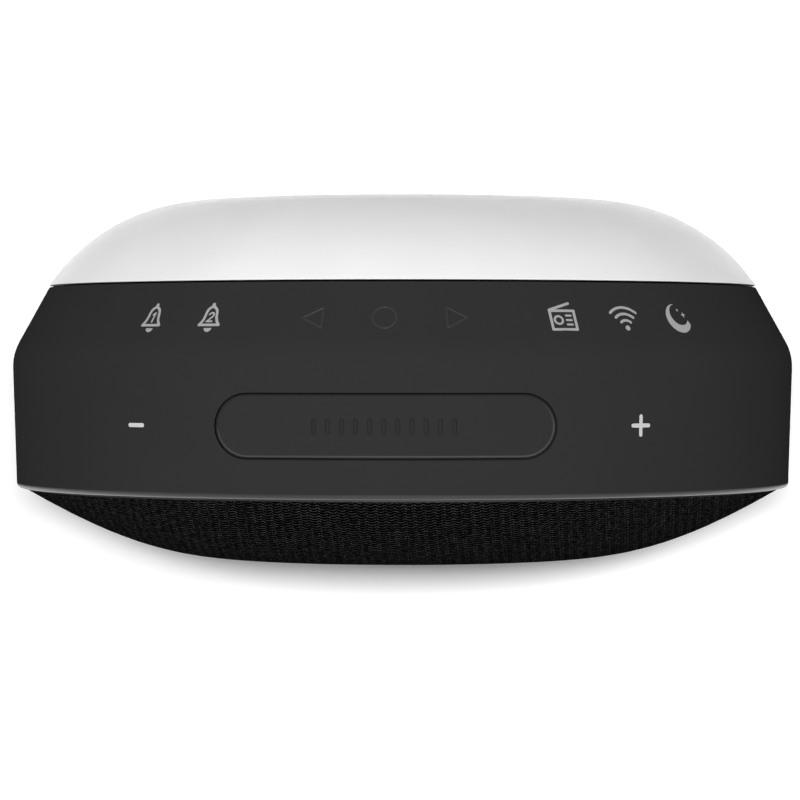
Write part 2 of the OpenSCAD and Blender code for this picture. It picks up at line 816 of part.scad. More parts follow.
module front_baffle() {
    f0 = f_baffle_back - overlap;
    f1 = f_baffle + overlap;
    color(INNER_BLACK) drum() difference() {
        union() {
            above_base(floor_t + soft_gap) disc(baffle_r, f_baffle_back, f_baffle);
            plate(rounded_rect(tray_w, tray_h, window_corner), f_baffle - overlap,
                f_display_board - display_board_t);
        }
        plate(rounded_rect(tray_w - 2 * tray_wall, tray_h - 2 * tray_wall, window_corner - tray_wall), f0,
            f_display_board + overlap);
        at_drivers() disc(basket_r + soft_gap, f0, f1);
        at_bosses() disc(screw_r + screw_slip, f0, f1);
        at_driver_screws() disc(small_screw_r + screw_slip, f0, f1);
    }
}

module baffle_screws() {
    color(STEEL) drum() at_bosses() translate([0, 0, f_baffle]) screw(screw_r, head_r, head_h, plate_screw_l);
}

module display_board() {
    color(BOARD_GREEN) drum() plate(rounded_rect(bezel_out_w, bezel_out_h, window_corner),
        f_display_board - display_board_t, f_display_board);
}

module display_panel() {
    w = window_w - 2 * panel_inset;
    h = window_h - 2 * panel_inset;
    color(SMOKED) drum() plate(rounded_rect(w, h, window_corner - panel_inset), f_display_board,
        f_display_board + panel_t);
}

module display_bezel() {
    f_ledge = f_bezel - lens_recess - lens_t;
    color(INNER_BLACK) drum() difference() {
        plate(rounded_rect(bezel_out_w, bezel_out_h, bezel_corner), f_display_board, f_bezel);
        plate(rounded_rect(window_w, window_h, window_corner), f_ledge, f_bezel + overlap);
        plate(rounded_rect(window_w - 2 * lens_ledge, window_h - 2 * lens_ledge, window_corner - lens_ledge),
            f_display_board - overlap, f_ledge + overlap);
    }
}

module display_lens() {
    f_lens = f_bezel - lens_recess;
    color(SMOKED) drum() plate(rounded_rect(window_w - 2 * slip, window_h - 2 * slip, window_corner - slip),
        f_lens - lens_t, f_lens);
}

// One bar of a digit, lying along x
module segment(l) {
    w = segment_w / 2;
    half = [[l / 2, 0], [l / 2 - w, -w], [w - l / 2, -w]];
    linear_extrude(segment_t) polygon(concat(half, -half));
}

module digit() {
    bar_w = digit_w - segment_w - 2 * segment_gap;
    bar_h = (digit_h - segment_w) / 2 - 2 * segment_gap;
    x = (digit_w - segment_w) / 2;
    y = (digit_h - segment_w) / 2;
    for (row = [-1 : 1]) translate([0, row * y, 0]) segment(bar_w);
    for (sx = [-1, 1], sy = [-1, 1]) translate([sx * x, sy * y / 2, 0]) rotate([0, 0, 90]) segment(bar_h);
}

module display_segments() {
    color(LIT) drum() translate([0, 0, f_display_board + panel_t]) {
        for (i = [-1.5 : 1 : 1.5]) translate([i * digit_pitch + sign(i) * colon_half, 0, 0]) digit();
        for (y = [-1, 1]) translate([0, y * digit_h / 5, 0]) cylinder(r = segment_w / 2, h = segment_t);
    }
}

module grille_frame() {
    inner = cloth_t + grille_t;
    skirt_in = grille_skirt_in_r;
    color(INNER_BLACK) drum() difference() {
        union() {
            difference() {
                above_base(cloth_t) dome_core(grille_curve, cloth_t, f_cloth, 1);
                above_base(inner) dome_core(grille_curve, inner, f_cloth, 1, overlap);
            }
            above_base(floor_t + soft_gap) turned([[skirt_in, f_baffle], [grille_skirt_r, f_baffle],
                [grille_skirt_r, f_cloth], [skirt_in, f_cloth + grille_t * tan(grille_edge_angle)]]);
        }
        plate(rounded_rect(bezel_out_w + 2 * slip, bezel_out_h + 2 * slip, bezel_corner + slip), f_baffle,
            f_front + overlap);
        at_drivers() sound_slots();
    }
}

// Slots across the circle in front of one loudspeaker
module sound_slots() {
    sound_r = basket_r + sound_margin;
    rows = floor((sound_r - slot_w / 2) / slot_pitch);
    for (i = [-rows : rows]) let (half = sqrt(pow(sound_r, 2) - pow(i * slot_pitch, 2)))
        translate([0, i * slot_pitch, f_cloth]) linear_extrude(grille_depth)
            polygon(stadium(2 * half, slot_w));
}

module grille_cloth() {
    color(CLOTH_BLACK) drum() difference() {
        above_base(0) dome_core(grille_curve, 0, f_cloth, 1);
        above_base(cloth_t) dome_core(grille_curve, cloth_t, f_cloth, 1, overlap);
        plate(rounded_rect(bezel_out_w + 2 * slip, bezel_out_h + 2 * slip, bezel_corner + slip),
            f_cloth + overlap, f_front + overlap);
    }
}

// Loudspeakers

module at_driver_screws() {
    at_drivers() for (a = [45 : 90 : 315])
        rotate([0, 0, a]) translate([driver_screw_ring_r, 0, 0]) children();
}

module driver_gaskets() {
    color(INNER_BLACK) drum() difference() {
        at_drivers() disc(driver_r, f_baffle, f_driver);
        at_drivers() disc(basket_r + soft_gap, f_baffle - overlap, f_driver + overlap);
        at_driver_screws() disc(small_screw_r + screw_slip, f_baffle - overlap, f_driver + overlap);
    }
}

module driver_screws() {
    color(STEEL) drum() at_driver_screws() translate([0, 0, f_driver + ring_t])
        screw(small_screw_r, small_head_r, small_head_h, small_screw_l);
}

module driver_frame(side) {
    floor_in_r = magnet_r - basket_floor_w;
    z_floor = basket_t - basket_depth;
    color(INNER_BLACK) drum() difference() {
        translate([side[1] * driver_x, 0, f_driver]) difference() {
            turned([[floor_in_r, -basket_depth], [magnet_r, -basket_depth], [basket_r, 0], [driver_r, 0],
                [driver_r, ring_t], [ring_in_r, ring_t], [ring_in_r, 0], [magnet_r - basket_t, z_floor],
                [floor_in_r, z_floor]]);
            for (a = [0 : 90 : 270]) rotate([0, 0, a])
                translate([-vent_w / 2, 0, vent_floor - basket_depth]) cube([vent_w, driver_r, vent_h]);
        }
        at_driver_screws() disc(small_screw_r + screw_slip, f_driver - overlap, f_driver + ring_t + overlap);
    }
}

module driver_magnet(side) {
    color(STEEL) drum() translate([side[1] * driver_x, 0, f_driver - basket_depth - magnet_t]) difference() {
        cylinder(r = magnet_r, h = magnet_t);
        translate([0, 0, pole_floor]) difference() {
            cylinder(r = coil_r + coil_gap, h = magnet_t);
            cylinder(r = coil_r - coil_t - coil_gap, h = magnet_t);
        }
    }
}

module driver_surround(side) {
    color(INNER_BLACK) drum() translate([side[1] * driver_x, 0, f_driver + ring_t]) rotate_extrude() {
        difference() {
            translate([roll_mid_r, 0]) circle(r = roll_r);
            translate([roll_mid_r, 0]) circle(r = roll_r - roll_t);
            translate([0, -2 * roll_r]) square([2 * roll_mid_r, 2 * roll_r]);
        }
        translate([roll_mid_r + roll_r - roll_t, 0]) square([roll_foot, roll_t]);
    }
}

module driver_cone(side) {
    color(CLOTH_BLACK) drum() translate([side[1] * driver_x, 0, f_driver + ring_t])
        turned([[coil_r, -cone_depth], [coil_r + cone_t, -cone_depth], [cone_r, 0], [cone_r, cone_t],
            [cone_r - cone_t, cone_t], [coil_r, cone_t - cone_depth]]);
}

module driver_dust_cap(side) {
    edge_r = coil_r + cap_margin;
    seat = cone_t - cone_depth + (edge_r - coil_r) * cone_depth / (cone_r - cone_t - coil_r);
    cap_r = edge_r + cap_crown;
    color(CLOTH_BLACK) drum() translate([side[1] * driver_x, 0, f_driver + ring_t + seat]) intersection() {
        translate([0, 0, -sqrt(pow(cap_r, 2) - pow(edge_r, 2))]) difference() {
            sphere(r = cap_r);
            sphere(r = cap_r - cone_t);
        }
        disc(edge_r, 0, cap_r);
    }
}

module driver_voice_coil(side) {
    color(COPPER) drum() translate([side[1] * driver_x, 0, f_driver + ring_t - cone_depth - coil_depth])
        difference() {
            cylinder(r = coil_r, h = coil_depth);
            translate([0, 0, -overlap]) cylinder(r = coil_r - coil_t, h = coil_depth + 2 * overlap);
        }
}

band_housing();
foot_pad();
grille_frame();
grille_cloth();
front_baffle();
baffle_screws();
display_bezel();
display_lens();
display_panel();
display_segments();
display_board();
rear_light_dome();
rear_chassis();
chassis_screws();
led_board();
led_chips();
port_panel();
port_board();
dc_jack();
dc_jack_pin();
usb_sockets();
usb_tongues();
main_board();
board_components();
board_screws();
key_bracket();
key_circuit();
tact_switches();
bracket_screws();
driver_gaskets();
driver_screws();
snooze_bar();
display_ribbon();
port_ribbon();
speaker_leads();
for (key = KEYS) round_key(key);
for (side = SIDES) {
    driver_frame(side);
    driver_magnet(side);
    driver_surround(side);
    driver_cone(side);
    driver_dust_cap(side);
    driver_voice_coil(side);
}
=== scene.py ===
"""Looks of a round bedside clock radio, laid out as an add-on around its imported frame.

Each operator builds one piece or one group of like pieces; main() runs them in order.
Lengths are metres in the frame's own axes: +Z up, -Y out of the cloth front, +X right.
"""
import json
from math import acos, asin, atan2, ceil, cos, hypot, pi, radians, sin, sqrt, tan

import bpy
from bpy.props import FloatProperty, FloatVectorProperty, IntProperty, PointerProperty, StringProperty
from mathutils import Matrix, Vector
from mathutils.geometry import delaunay_2d_cdt


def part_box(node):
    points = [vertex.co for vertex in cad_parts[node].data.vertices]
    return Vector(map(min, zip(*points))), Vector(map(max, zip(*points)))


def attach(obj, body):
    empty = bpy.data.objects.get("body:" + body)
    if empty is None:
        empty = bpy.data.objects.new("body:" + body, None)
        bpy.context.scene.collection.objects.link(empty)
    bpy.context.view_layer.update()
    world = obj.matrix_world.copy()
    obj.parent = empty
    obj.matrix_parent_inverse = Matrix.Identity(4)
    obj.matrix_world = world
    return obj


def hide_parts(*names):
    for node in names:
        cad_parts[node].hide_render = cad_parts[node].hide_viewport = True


bl_info = {
    "name": "Bedside clock radio",
    "version": (1, 0, 0),
    "blender": (4, 2, 0),
    "location": "3D View > Sidebar > Clock",
    "description": "Builds the skin, cloth, keys, display and stage of a round bedside clock radio",
    "category": "Object",
}

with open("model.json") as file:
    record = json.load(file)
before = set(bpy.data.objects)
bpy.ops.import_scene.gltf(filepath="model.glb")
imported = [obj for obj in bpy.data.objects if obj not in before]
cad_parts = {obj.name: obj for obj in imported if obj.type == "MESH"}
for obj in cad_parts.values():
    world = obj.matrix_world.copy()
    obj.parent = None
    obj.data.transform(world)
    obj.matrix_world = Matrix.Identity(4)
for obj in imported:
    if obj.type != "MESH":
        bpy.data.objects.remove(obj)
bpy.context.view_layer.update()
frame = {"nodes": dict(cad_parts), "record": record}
MM = 0.001
BODY = "clock_body"
# Each key's name, the side of its group on the strip, its steps from the group's first key
STRIP_KEYS = [("key_alarm_1", -1, 1), ("key_alarm_2", -1, 0), ("key_previous", 0, -1), ("key_play", 0, 0),
              ("key_next", 0, 1), ("key_radio", 1, 0), ("key_wireless", 1, 1), ("key_sleep", 1, 2)]
VOLUME_KEYS = [("key_volume_down", -1), ("key_volume_up", 1)]
# Faces along a turned skin's side, its eased turn into the base and half the base, and round a key
SIDE_STEPS, TURN_STEPS, BASE_STEPS, KEY_STEPS = 36, 6, 12, 72
# Faces along the band's profile from its front rim to its rear edge, and across its upper half
RIM_STEPS, WALL_STEPS, CREASE_STEPS, STRIP_STEPS, EDGE_STEPS, BAND_COLUMNS = 8, 7, 10, 4, 4, 120
# Faces along the profiles of the dome, its lip and the cloth
DOME_STEPS, LIP_STEPS, CLOTH_STEPS = 28, 6, 40
# Faces over the edges of the bar's opening, the bar and the flat openings, and over a raised outline
MOUTH_STEPS, BAR_STEPS, HOLE_STEPS, RIDGE_STEPS = 5, 8, 4, 6
# Faces round the ends of a sunk mark and of a stroke
SLOT_STEPS, END_STEPS = 8, 8
# Widths of the faces on a key, round the bar's opening and on the bar
KEY_FACE, MOUTH_FACE, BAR_FACE = 1.25 * MM, 2.5 * MM, 2 * MM
# Widths of the faces in a sunk mark, on the domes' flat middles and along a raised outline
SLOT_FACE, FLAT_FACE, RIDGE_FACE = 0.6 * MM, 3 * MM, 0.35 * MM
# How close to an edge a free corner may lie, as a share of a face's width
CLEAR = 0.35
# Steps per metre and per unit normal on which two corners are one
POINT_GRID, NORMAL_GRID = 1e7, 50
# Two flat points closer than this are one
SAME = 1e-9


def length(name, text, value):
    return FloatProperty(name=name, description=text, default=value * MM, unit="LENGTH", precision=5)


def angle(name, text, value):
    return FloatProperty(name=name, description=text, default=radians(value), subtype="ANGLE")


def colour(name, text, value):
    return FloatVectorProperty(name=name, description=text, default=value, subtype="COLOR", size=3,
                               min=0, max=1)


class ClockSizes(bpy.types.PropertyGroup):
    crease_r: length("Crease radius", "Radius of the drum at the crease of the band", 91.6)
    rim_taper: length("Rim taper", "How much smaller the band is at its front rim", 1)
    strip_taper: length("Strip taper", "How much smaller the band is at its rear rim", 8.6)
    band_depth: length("Band depth", "From the front rim to the crease", 31.15)
    wall: length("Wall", "Wall of the band", 2.6)
    crease_ease: length("Crease ease", "Radius that eases the crease", 12)
    rim_ease: length("Rim ease", "Radius that eases the front rim", 1.2)
    edge_ease: length("Edge ease", "Radius that eases the band's rear edge", 0.3)
    mouth_ease: length("Mouth ease", "Radius that eases the edge of the snooze bar's opening", 0.15)
    base_ease: length("Base ease", "Radius that eases the edge of the flat underside", 1)
    hole_ease: length("Hole ease", "Radius that eases the display's and the sockets' openings", 0.4)
    rim_lip: length("Rim lip", "Width of the band's rim round the cloth", 2.6)
    grille_flat_r: length("Grille flat", "Radius of the cloth's flat middle", 40.05)
    grille_angle: angle("Grille slope", "Slope of the cloth at its edge", 30)
    cloth_t: length("Cloth", "Thickness of the cloth", 0.8)
    cloth_tuck: length("Cloth tuck", "Width of the cloth's turn-in at its edge", 0.9)
    dome_flat_r: length("Dome flat", "Radius of the light dome's flat back", 46.03)
    dome_angle: angle("Dome slope", "Slope of the light dome at its edge", 57)
    dome_t: length("Dome wall", "Thickness of the light dome", 2.2)
    dome_lip: length("Dome lip", "Radius that eases the light dome's edge", 0.22)
    skirt_l: length("Skirt", "Length of the dome's skirt inside the band", 4)
    skirt_gap: length("Skirt gap", "Gap between the skirt and the band", 0.2)
    floor_t: length("Floor", "Thickness of the band's flat floor", 3)
    key_r: length("Key radius", "Radius of a round key", 5)
    key_slit: length("Key slit", "Half the hairline gap round a key's cap", 0.01)
    key_pitch: angle("Key pitch", "Angle between neighbouring keys", 10.2)
    side_key: angle("Side keys", "Angle from the top to the first key of a side group", 25.8)
    volume_gap: length("Volume gap", "From the end of the snooze bar to a volume key's middle", 18.3)
    snooze_l: length("Snooze length", "Length of the snooze bar's opening", 73.6)
    snooze_w: length("Snooze width", "Width of the snooze bar's opening", 14.3)
    snooze_setback: length("Snooze setback", "From the front rim to the snooze bar's middle", 15.65)
    snooze_gap: length("Snooze gap", "Gap round the snooze bar", 0.35)
    snooze_flange: length("Snooze flange", "How far the bar's flange reaches under the band", 1.2)
    flange_gap: length("Flange gap", "Gap between the band and the flanges below it", 0.35)
    flange_t: length("Flange", "Thickness of the flanges", 1)
    bar_edge_w: length("Bar edge width", "Width of the snooze bar's rounded edge", 0.9)
    bar_edge_d: length("Bar edge depth", "Depth of the snooze bar's rounded edge", 0.55)
    slot_count: IntProperty(name="Bar slots", description="Number of sunk marks on the snooze bar",
                            default=11)
    slot_pitch: length("Slot pitch", "Distance between the sunk marks", 3)
    slot_l: length("Slot length", "Length of a sunk mark", 3.4)
    slot_w: length("Slot width", "Width of a sunk mark", 0.9)
    slot_d: length("Slot depth", "Depth of a sunk mark", 0.35)
    slot_ease: length("Slot ease", "Radius that eases a sunk mark's edge", 0.12)
    window_w: length("Window width", "Width of the display's opening in the cloth", 72.4)
    window_h: length("Window height", "Height of the display's opening in the cloth", 42.4)
    window_corner: length("Window corner", "Corner radius of the display's opening", 9.2)
    socket_w: length("Socket width", "Width of the socket panel's opening in the dome", 58.4)
    socket_h: length("Socket height", "Height of the socket panel's opening in the dome", 15.4)
    socket_drop: length("Socket drop", "Height of the socket panel below the drum's axis", 26)
    digit_h: length("Digit height", "Height of a digit", 22)
    digit_gap: length("Digit gap", "Gap between two digits", 3.4)
    colon_room: length("Colon room", "How far the colon moves the digits to each side", 2)
    segment_gap: length("Segment gap", "How much shorter a segment is than its place", 0.7)
    sign_lift: length("Print", "How far the printed signs stand proud", 0.03)
    ridge_w: length("Ridge width", "Width of a raised outline", 0.5)
    ridge_h: length("Ridge height", "Height of a raised outline", 0.12)
    wale: length("Wale", "Width of one loop of the knit", 2.1)
    course: length("Course", "Height of one course of the knit", 1.3)


class ClockColours(bpy.types.PropertyGroup):
    band: colour("Band", "Soft-touch band", (0.028, 0.028, 0.0285))
    keys: colour("Keys", "Snooze bar and keys", (0.028, 0.028, 0.0285))
    sign: colour("Signs", "Printed signs", (0.31, 0.31, 0.31))
    volume: colour("Volume signs", "Printed volume signs", (0.5, 0.5, 0.5))
    yarn: colour("Yarn", "Raised yarn of the cloth", (0.27, 0.27, 0.274))
    ground: colour("Ground", "Gaps between the yarns", (0.0008, 0.0008, 0.0009))
    dome: colour("Dome", "Light dome", (0.815, 0.815, 0.82))
    light: colour("Light", "Lit segments", (0.85, 0.9, 1.0))
    digits: StringProperty(name="Digits", description="Four digits that the display shows", default="1010")


# Shaders

class Value:
    """A socket of a node tree; Python's operators on it add Math nodes."""

    def __init__(self, tree, socket):
        self.tree = tree
        self.socket = socket

    def at(self, name):
        """Another output of the same node."""
        return Value(self.tree, self.socket.node.outputs[name])

    def math(self, operation, *others):
        return self.tree.math(operation, self, *others)

    def __add__(self, other):
        return self.math("ADD", other)

    def __sub__(self, other):
        return self.math("SUBTRACT", other)

    def __rsub__(self, other):
        return self.tree.math("SUBTRACT", other, self)

    def __mul__(self, other):
        return self.math("MULTIPLY", other)

    def __truediv__(self, other):
        return self.math("DIVIDE", other)

    __radd__ = __add__
    __rmul__ = __mul__

    def clamped(self):
        return self.math("MINIMUM", 1.0).math("MAXIMUM", 0.0)


class Shader:
    """A node tree that is written as Python expressions."""

    def __init__(self, owner):
        owner.use_nodes = True
        self.links = owner.node_tree.links
        self.nodes = owner.node_tree.nodes
        self.nodes.clear()

    def node(self, kind, settings=None, sockets=None):
        """Adds a node, sets its settings first, then its sockets' values or links; gives its first output."""
        node = self.nodes.new(kind)
        for name, value in (settings or {}).items():
            setattr(node, name, value)
        for name, value in (sockets or {}).items():
            if isinstance(value, Value):
                self.links.new(value.socket, node.inputs[name])
            else:
                node.inputs[name].default_value = value
        return Value(self, node.outputs[0]) if node.outputs else None

    def math(self, operation, *values):
        return self.node("ShaderNodeMath", {"operation": operation}, dict(enumerate(values)))

    def place(self):
        """A point's place in the object's own axes."""
        return self.node("ShaderNodeTexCoord").at("Object")

    def parts(self, vector):
        """A vector's X; its Y and Z are other outputs of the same node."""
        return self.node("ShaderNodeSeparateXYZ", {}, {"Vector": vector})

    def noise(self, scale, detail=2.0):
        return self.node("ShaderNodeTexNoise", {}, {"Vector": self.place(), "Scale": scale, "Detail": detail})

    def past(self, f, width):
        """Rises from 0 to 1 over a width forward of a place along the drum's axis."""
        return ((-f - self.parts(self.place()).at("Y")) / width).clamped()

    def mapped(self):
        """Across and along on the surface's own map."""
        across = self.parts(self.node("ShaderNodeUVMap", {"uv_map": "map"}))
        return across, across.at("Y")

    def mix(self, factor, a, b):
        """One colour or the other by a factor; the numbers are the Mix node's colour sockets."""
        ends = [end if isinstance(end, Value) else rgba(end) for end in (a, b)]
        return self.node("ShaderNodeMix", {"data_type": "RGBA"}, {0: factor, 6: ends[0], 7: ends[1]}).at(2)

    def bump(self, height, distance, strength=1.0):
        return self.node("ShaderNodeBump", {}, {"Height": height, "Distance": distance, "Strength": strength})

    def surface(self, **sockets):
        """Ends the tree with one Principled surface; underscores stand for spaces."""
        named = {k.replace("_", " "): v for k, v in sockets.items()}
        shader = self.node("ShaderNodeBsdfPrincipled", {}, named)
        self.node("ShaderNodeOutputMaterial", {}, {"Surface": shader})


def material(name):
    found = bpy.data.materials.new(name)
    return found, Shader(found)


def rgba(value):
    return (*value[:3], 1.0)


def grey(value):
    return (value, value, value, 1.0)


# How far a tone drifts, the scale of its clouds, the gloss of a polished edge, and the black of painted shade
# with its roughness
DRIFT, CLOUDS, POLISH, GAP_SHADE_BLACK, GAP_SHADE_ROUGHNESS = 0.06, 40.0, 0.3, (0.004, 0.004, 0.004), 0.95


def moulded(name, tone, roughness, grain=0.06, grain_size=0.7 * MM, depth=0.004 * MM, polished=None,
            gap_shade=None, **more):
    """A moulded or painted surface: an even tone with a fine grain in its roughness and relief.

    The last two take the tree and give the share of a place that has a glossy coat (on the snooze bar's edge
    a painted highlight) and of a place painted black as shade."""
    made, tree = material(name)
    if polished:
        more.update(Coat_Weight=polished(tree), Coat_Roughness=POLISH)
    low = [c * (1 - DRIFT) for c in tone]
    high = [min(1.0, c * (1 + DRIFT)) for c in tone]
    base = tree.mix(tree.noise(CLOUDS, 3.0), low, high)
    fine = tree.noise(1.0 / grain_size)
    rough = (fine - 0.5) * (2 * grain) + roughness
    # Painted shade: the black share darkens a place that lies in shade in a gap
    if gap_shade:
        share = gap_shade(tree)
        base = tree.mix(share, base, GAP_SHADE_BLACK)
        rough = rough + share * (GAP_SHADE_ROUGHNESS - roughness)
    if depth:
        more["Normal"] = tree.bump(fine, depth)
    tree.surface(Base_Color=base, Roughness=rough, **more)
    return made


def metal(name, tone, roughness):
    return moulded(name, tone, roughness, grain=0.1, grain_size=0.4 * MM, Metallic=1.0)


def lit(name, tone, strength):
    """A glowing surface whose light is a little uneven."""
    made, tree = material(name)
    cloud = tree.noise(120.0, 1.0)
    glow = tree.mix(cloud, [c * (1 - DRIFT) for c in tone], tone)
    tree.surface(Base_Color=rgba(tone), Roughness=cloud * 0.1 + 0.4, Emission_Color=glow,
                 Emission_Strength=strength)
    return made


def knit(name, sizes, yarn, ground):
    """Knitted cloth: courses of hanging loops, knotted to their neighbours along the wales."""
    made, tree = material(name)
    x, y = tree.mapped()
    sag, strand_w, wale_w, knot_at, knot_w = 2.6, 0.22, 0.08, 0.38, 0.14
    wander_scale, fibre_scale, stitch_scale = 300.0, 5200.0, 1300.0
    drift = tree.noise(wander_scale) - 0.5
    across = x / sizes.wale + drift * 0.16
    along = y / sizes.course + drift * 0.3
    side = (across.math("FRACT") - 0.5).math("ABSOLUTE")
    height = along - side * side * sag
    off = (height.math("FRACT") - 0.5).math("ABSOLUTE")
    strand = (1 - off / strand_w).clamped()
    wale = ((0.5 - side) / wale_w).clamped()
    knot = (1 - (knot_at - side).math("ABSOLUTE") / knot_w).clamped()
    relief = strand * (0.35 + wale * 0.65)
    fibre = tree.noise(fibre_scale)
    stitch = ((tree.noise(stitch_scale, 1.0) - 0.36) * 3.0).clamped()
    shade = (relief * (0.1 + knot * 0.4 + fibre * 0.4) * (0.2 + stitch)).clamped()
    tree.surface(Base_Color=tree.mix(shade, ground, yarn), Roughness=0.9 - relief * 0.2,
                 Specular_IOR_Level=0.0, Normal=tree.bump(relief + fibre * 0.15, 0.35 * MM, 0.8))
    return made


# Meshes

class Shell:
    """Collects corners with their true normals, and faces, and makes one mesh object of them.

    A place is a point, its normal and, where its look needs one, its spot on the map."""

    def __init__(self):
        self.found = {}
        self.points = []
        self.normals = []
        self.uvs = []
        self.faces = []

    def add(self, point, normal, uv=(0.0, 0.0)):
        key = tuple(round(c * POINT_GRID) for c in point) + tuple(round(c * NORMAL_GRID) for c in normal)
        if key not in self.found:
            self.found[key] = len(self.points)
            self.points.append(tuple(point))
            self.normals.append(tuple(normal))
            self.uvs.append(uv)
        return self.found[key]

    def face(self, corners):
        kept = [c for i, c in enumerate(corners) if c != corners[i - 1]]
        if len(set(kept)) == len(kept) > 2:
            self.faces.append(kept)

    def rows(self, rows, closed=True):
        """Four-sided faces between successive rows of places."""
        lines = [[self.add(*place) for place in row] for row in rows]
        for one_line, other in zip(lines, lines[1:]):
            for i in range(0 if closed else 1, len(one_line)):
                self.face((one_line[i - 1], one_line[i], other[i], other[i - 1]))

    def cover(self, faces, places):
        """Faces through places, which are in the order of the faces' corners."""
        for face in faces:
            self.face([self.add(*places[i]) for i in face])

    def turn_out(self):
        """Turns every face to the side that its corners' normals point to."""
        for i, face in enumerate(self.faces):
            a, b, c = (Vector(self.points[v]) for v in face[:3])
            out = sum((Vector(self.normals[v]) for v in face), Vector())
            if (b - a).cross(c - b).dot(out) < 0:
                self.faces[i] = face[::-1]

    def piece(self, name, look, body, *nodes):
        """Makes the mesh, gives it its look, and lets it ride on a body in place of CAD nodes."""
        self.turn_out()
        mesh = bpy.data.meshes.new(name)
        mesh.from_pydata(self.points, [], self.faces)
        layer = mesh.uv_layers.new(name="map")
        for loop in mesh.loops:
            layer.data[loop.index].uv = self.uvs[loop.vertex_index]
        mesh.polygons.foreach_set("use_smooth", [True] * len(mesh.polygons))
        mesh.normals_split_custom_set_from_vertices(self.normals)
        mesh.materials.append(look)
        made = bpy.data.objects.new(name, mesh)
        bpy.context.scene.collection.objects.link(made)
        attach(made, body)
        if nodes:
            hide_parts(*nodes)
        return made


class Loop:
    """A closed flat outline that tells what lies inside it or near it."""

    def __init__(self, points):
        self.points = points
        self.sides = [(Vector(points[i - 1]), Vector(end)) for i, end in enumerate(points)]
        self.low, self.high = ([limit(axis) for axis in zip(*points)] for limit in (min, max))

    def boxes(self, point, gap=0.0):
        """Whether a point lies in its box, grown by a gap."""
        return all(low - gap < c < high + gap for c, low, high in zip(point, self.low, self.high))

    def holds(self, point):
        """Whether a point lies inside."""
        if not self.boxes(point):
            return False
        x, y = point
        hit = False
        for i, (x1, y1) in enumerate(self.points):
            x0, y0 = self.points[i - 1]
            if (y0 > y) != (y1 > y) and x < x0 + (x1 - x0) * (y - y0) / (y1 - y0):
                hit = not hit
        return hit

    def near(self, point, gap):
        """Whether a point lies closer to the outline than a gap."""
        if not self.boxes(point, gap):
            return False
        p = Vector(point)
        for a, b in self.sides:
            along = b - a
            share = clamp((p - a).dot(along) / max(along.length_squared, SAME * SAME))
            if (p - a - along * share).length <= gap:
                return True
        return False


def clamp(value):
    return min(1.0, max(0.0, value))


def spread(start, end, steps):
    """Even steps from a start to an end."""
    return [start + (end - start) * i / steps for i in range(steps + 1)]


def filled(loops, loose):
    """Flat triangles inside the first loop, outside the others, through loose points: corners and faces."""
    edges, points = [], []
    for loop in loops:
        first, count = len(points), len(loop.points)
        points += [Vector(p) for p in loop.points]
        edges += [(first + i, first + (i + 1) % count) for i in range(count)]
    corners, _, faces, *_ = delaunay_2d_cdt(points + [Vector(p) for p in loose], edges, [], 0, SAME)
    kept = []
    for face in faces:
        middle = sum((corners[i] for i in face), Vector((0, 0))) / len(face)
        if loops[0].holds(middle) and not any(hole.holds(middle) for hole in loops[1:]):
            kept.append(face)
    return corners, kept


def patch(outline, holes, step):
    """Flat triangles of an even size inside an outline and outside its holes."""
    loops = [Loop(points) for points in (outline, *holes)]
    (x0, y0), (x1, y1) = loops[0].low, loops[0].high
    grid = [(x0 + (i + 0.5) * step, y0 + (j + 0.5) * step)
            for i in range(int((x1 - x0) / step) + 1) for j in range(int((y1 - y0) / step) + 1)]
    loose = [p for p in grid if loops[0].holds(p) and not any(hole.holds(p) for hole in loops[1:])
             and not any(loop.near(p, CLEAR * step) for loop in loops)]
    return filled(loops, loose)


def arc(x, y, r, start, end, steps):
    """Points along part of a circle."""
    return [(x + r * cos(a), y + r * sin(a)) for a in spread(start, end, steps)]


def circle(r, steps, x=0.0, y=0.0):
    return arc(x, y, r, 0, 2 * pi, steps)[:-1]


def stadium(l, w, steps=16):
    half = (l - w) / 2
    return arc(half, 0, w / 2, -pi / 2, pi / 2, steps) + arc(-half, 0, w / 2, pi / 2, 1.5 * pi, steps)


def rounded_rect(w, h, r, steps=8):
    x, y = w / 2 - r, h / 2 - r
    corners = enumerate(((x, y), (-x, y), (-x, -y), (x, -y)))
    return [p for q, middle in corners for p in arc(*middle, r, q * pi / 2, (q + 1) * pi / 2, steps)]


def dense(loop, step):
    """The same closed outline with no side longer than a step."""
    out = []
    for i, end in enumerate(loop):
        a, b = Vector(loop[i - 1]), Vector(end)
        count = max(1, ceil((b - a).length / step))
        out += [tuple(a.lerp(b, k / count)) for k in range(count)]
    return out


def outward(loop):
    """Flat outward direction of an anticlockwise outline at each corner."""
    out = []
    for i in range(len(loop)):
        along = (Vector(loop[(i + 1) % len(loop)]) - Vector(loop[i - 1])).normalized()
        out.append(Vector((along.y, -along.x)))
    return out


def grown(loop, way):
    """A closed outline moved outward, or inward where the way is negative."""
    return [(x + out.x * way, y + out.y * way) for (x, y), out in zip(loop, outward(loop))]


def rounded(ease, steps):
    """Steps for rolled() over an edge that is rounded inward."""
    return [(-ease * sin(a), ease * (1 - cos(a)), cos(a), sin(a)) for a in spread(0, pi / 2, steps)]


def rolled(loop, steps, place, side):
    """Rows of places round an outline, one for each step.

    A step is a way outward, a depth, and the shares of the skin's normal and the side's direction."""
    rows = []
    for way, depth, flat, lean in steps:
        row = []
        for (x, y), out in zip(loop, outward(loop)):
            point, normal = place(x + out.x * way, y + out.y * way, depth)
            row.append((point, (normal * flat + side(out) * lean).normalized()))
        rows.append(row)
    return rows


# The turned body

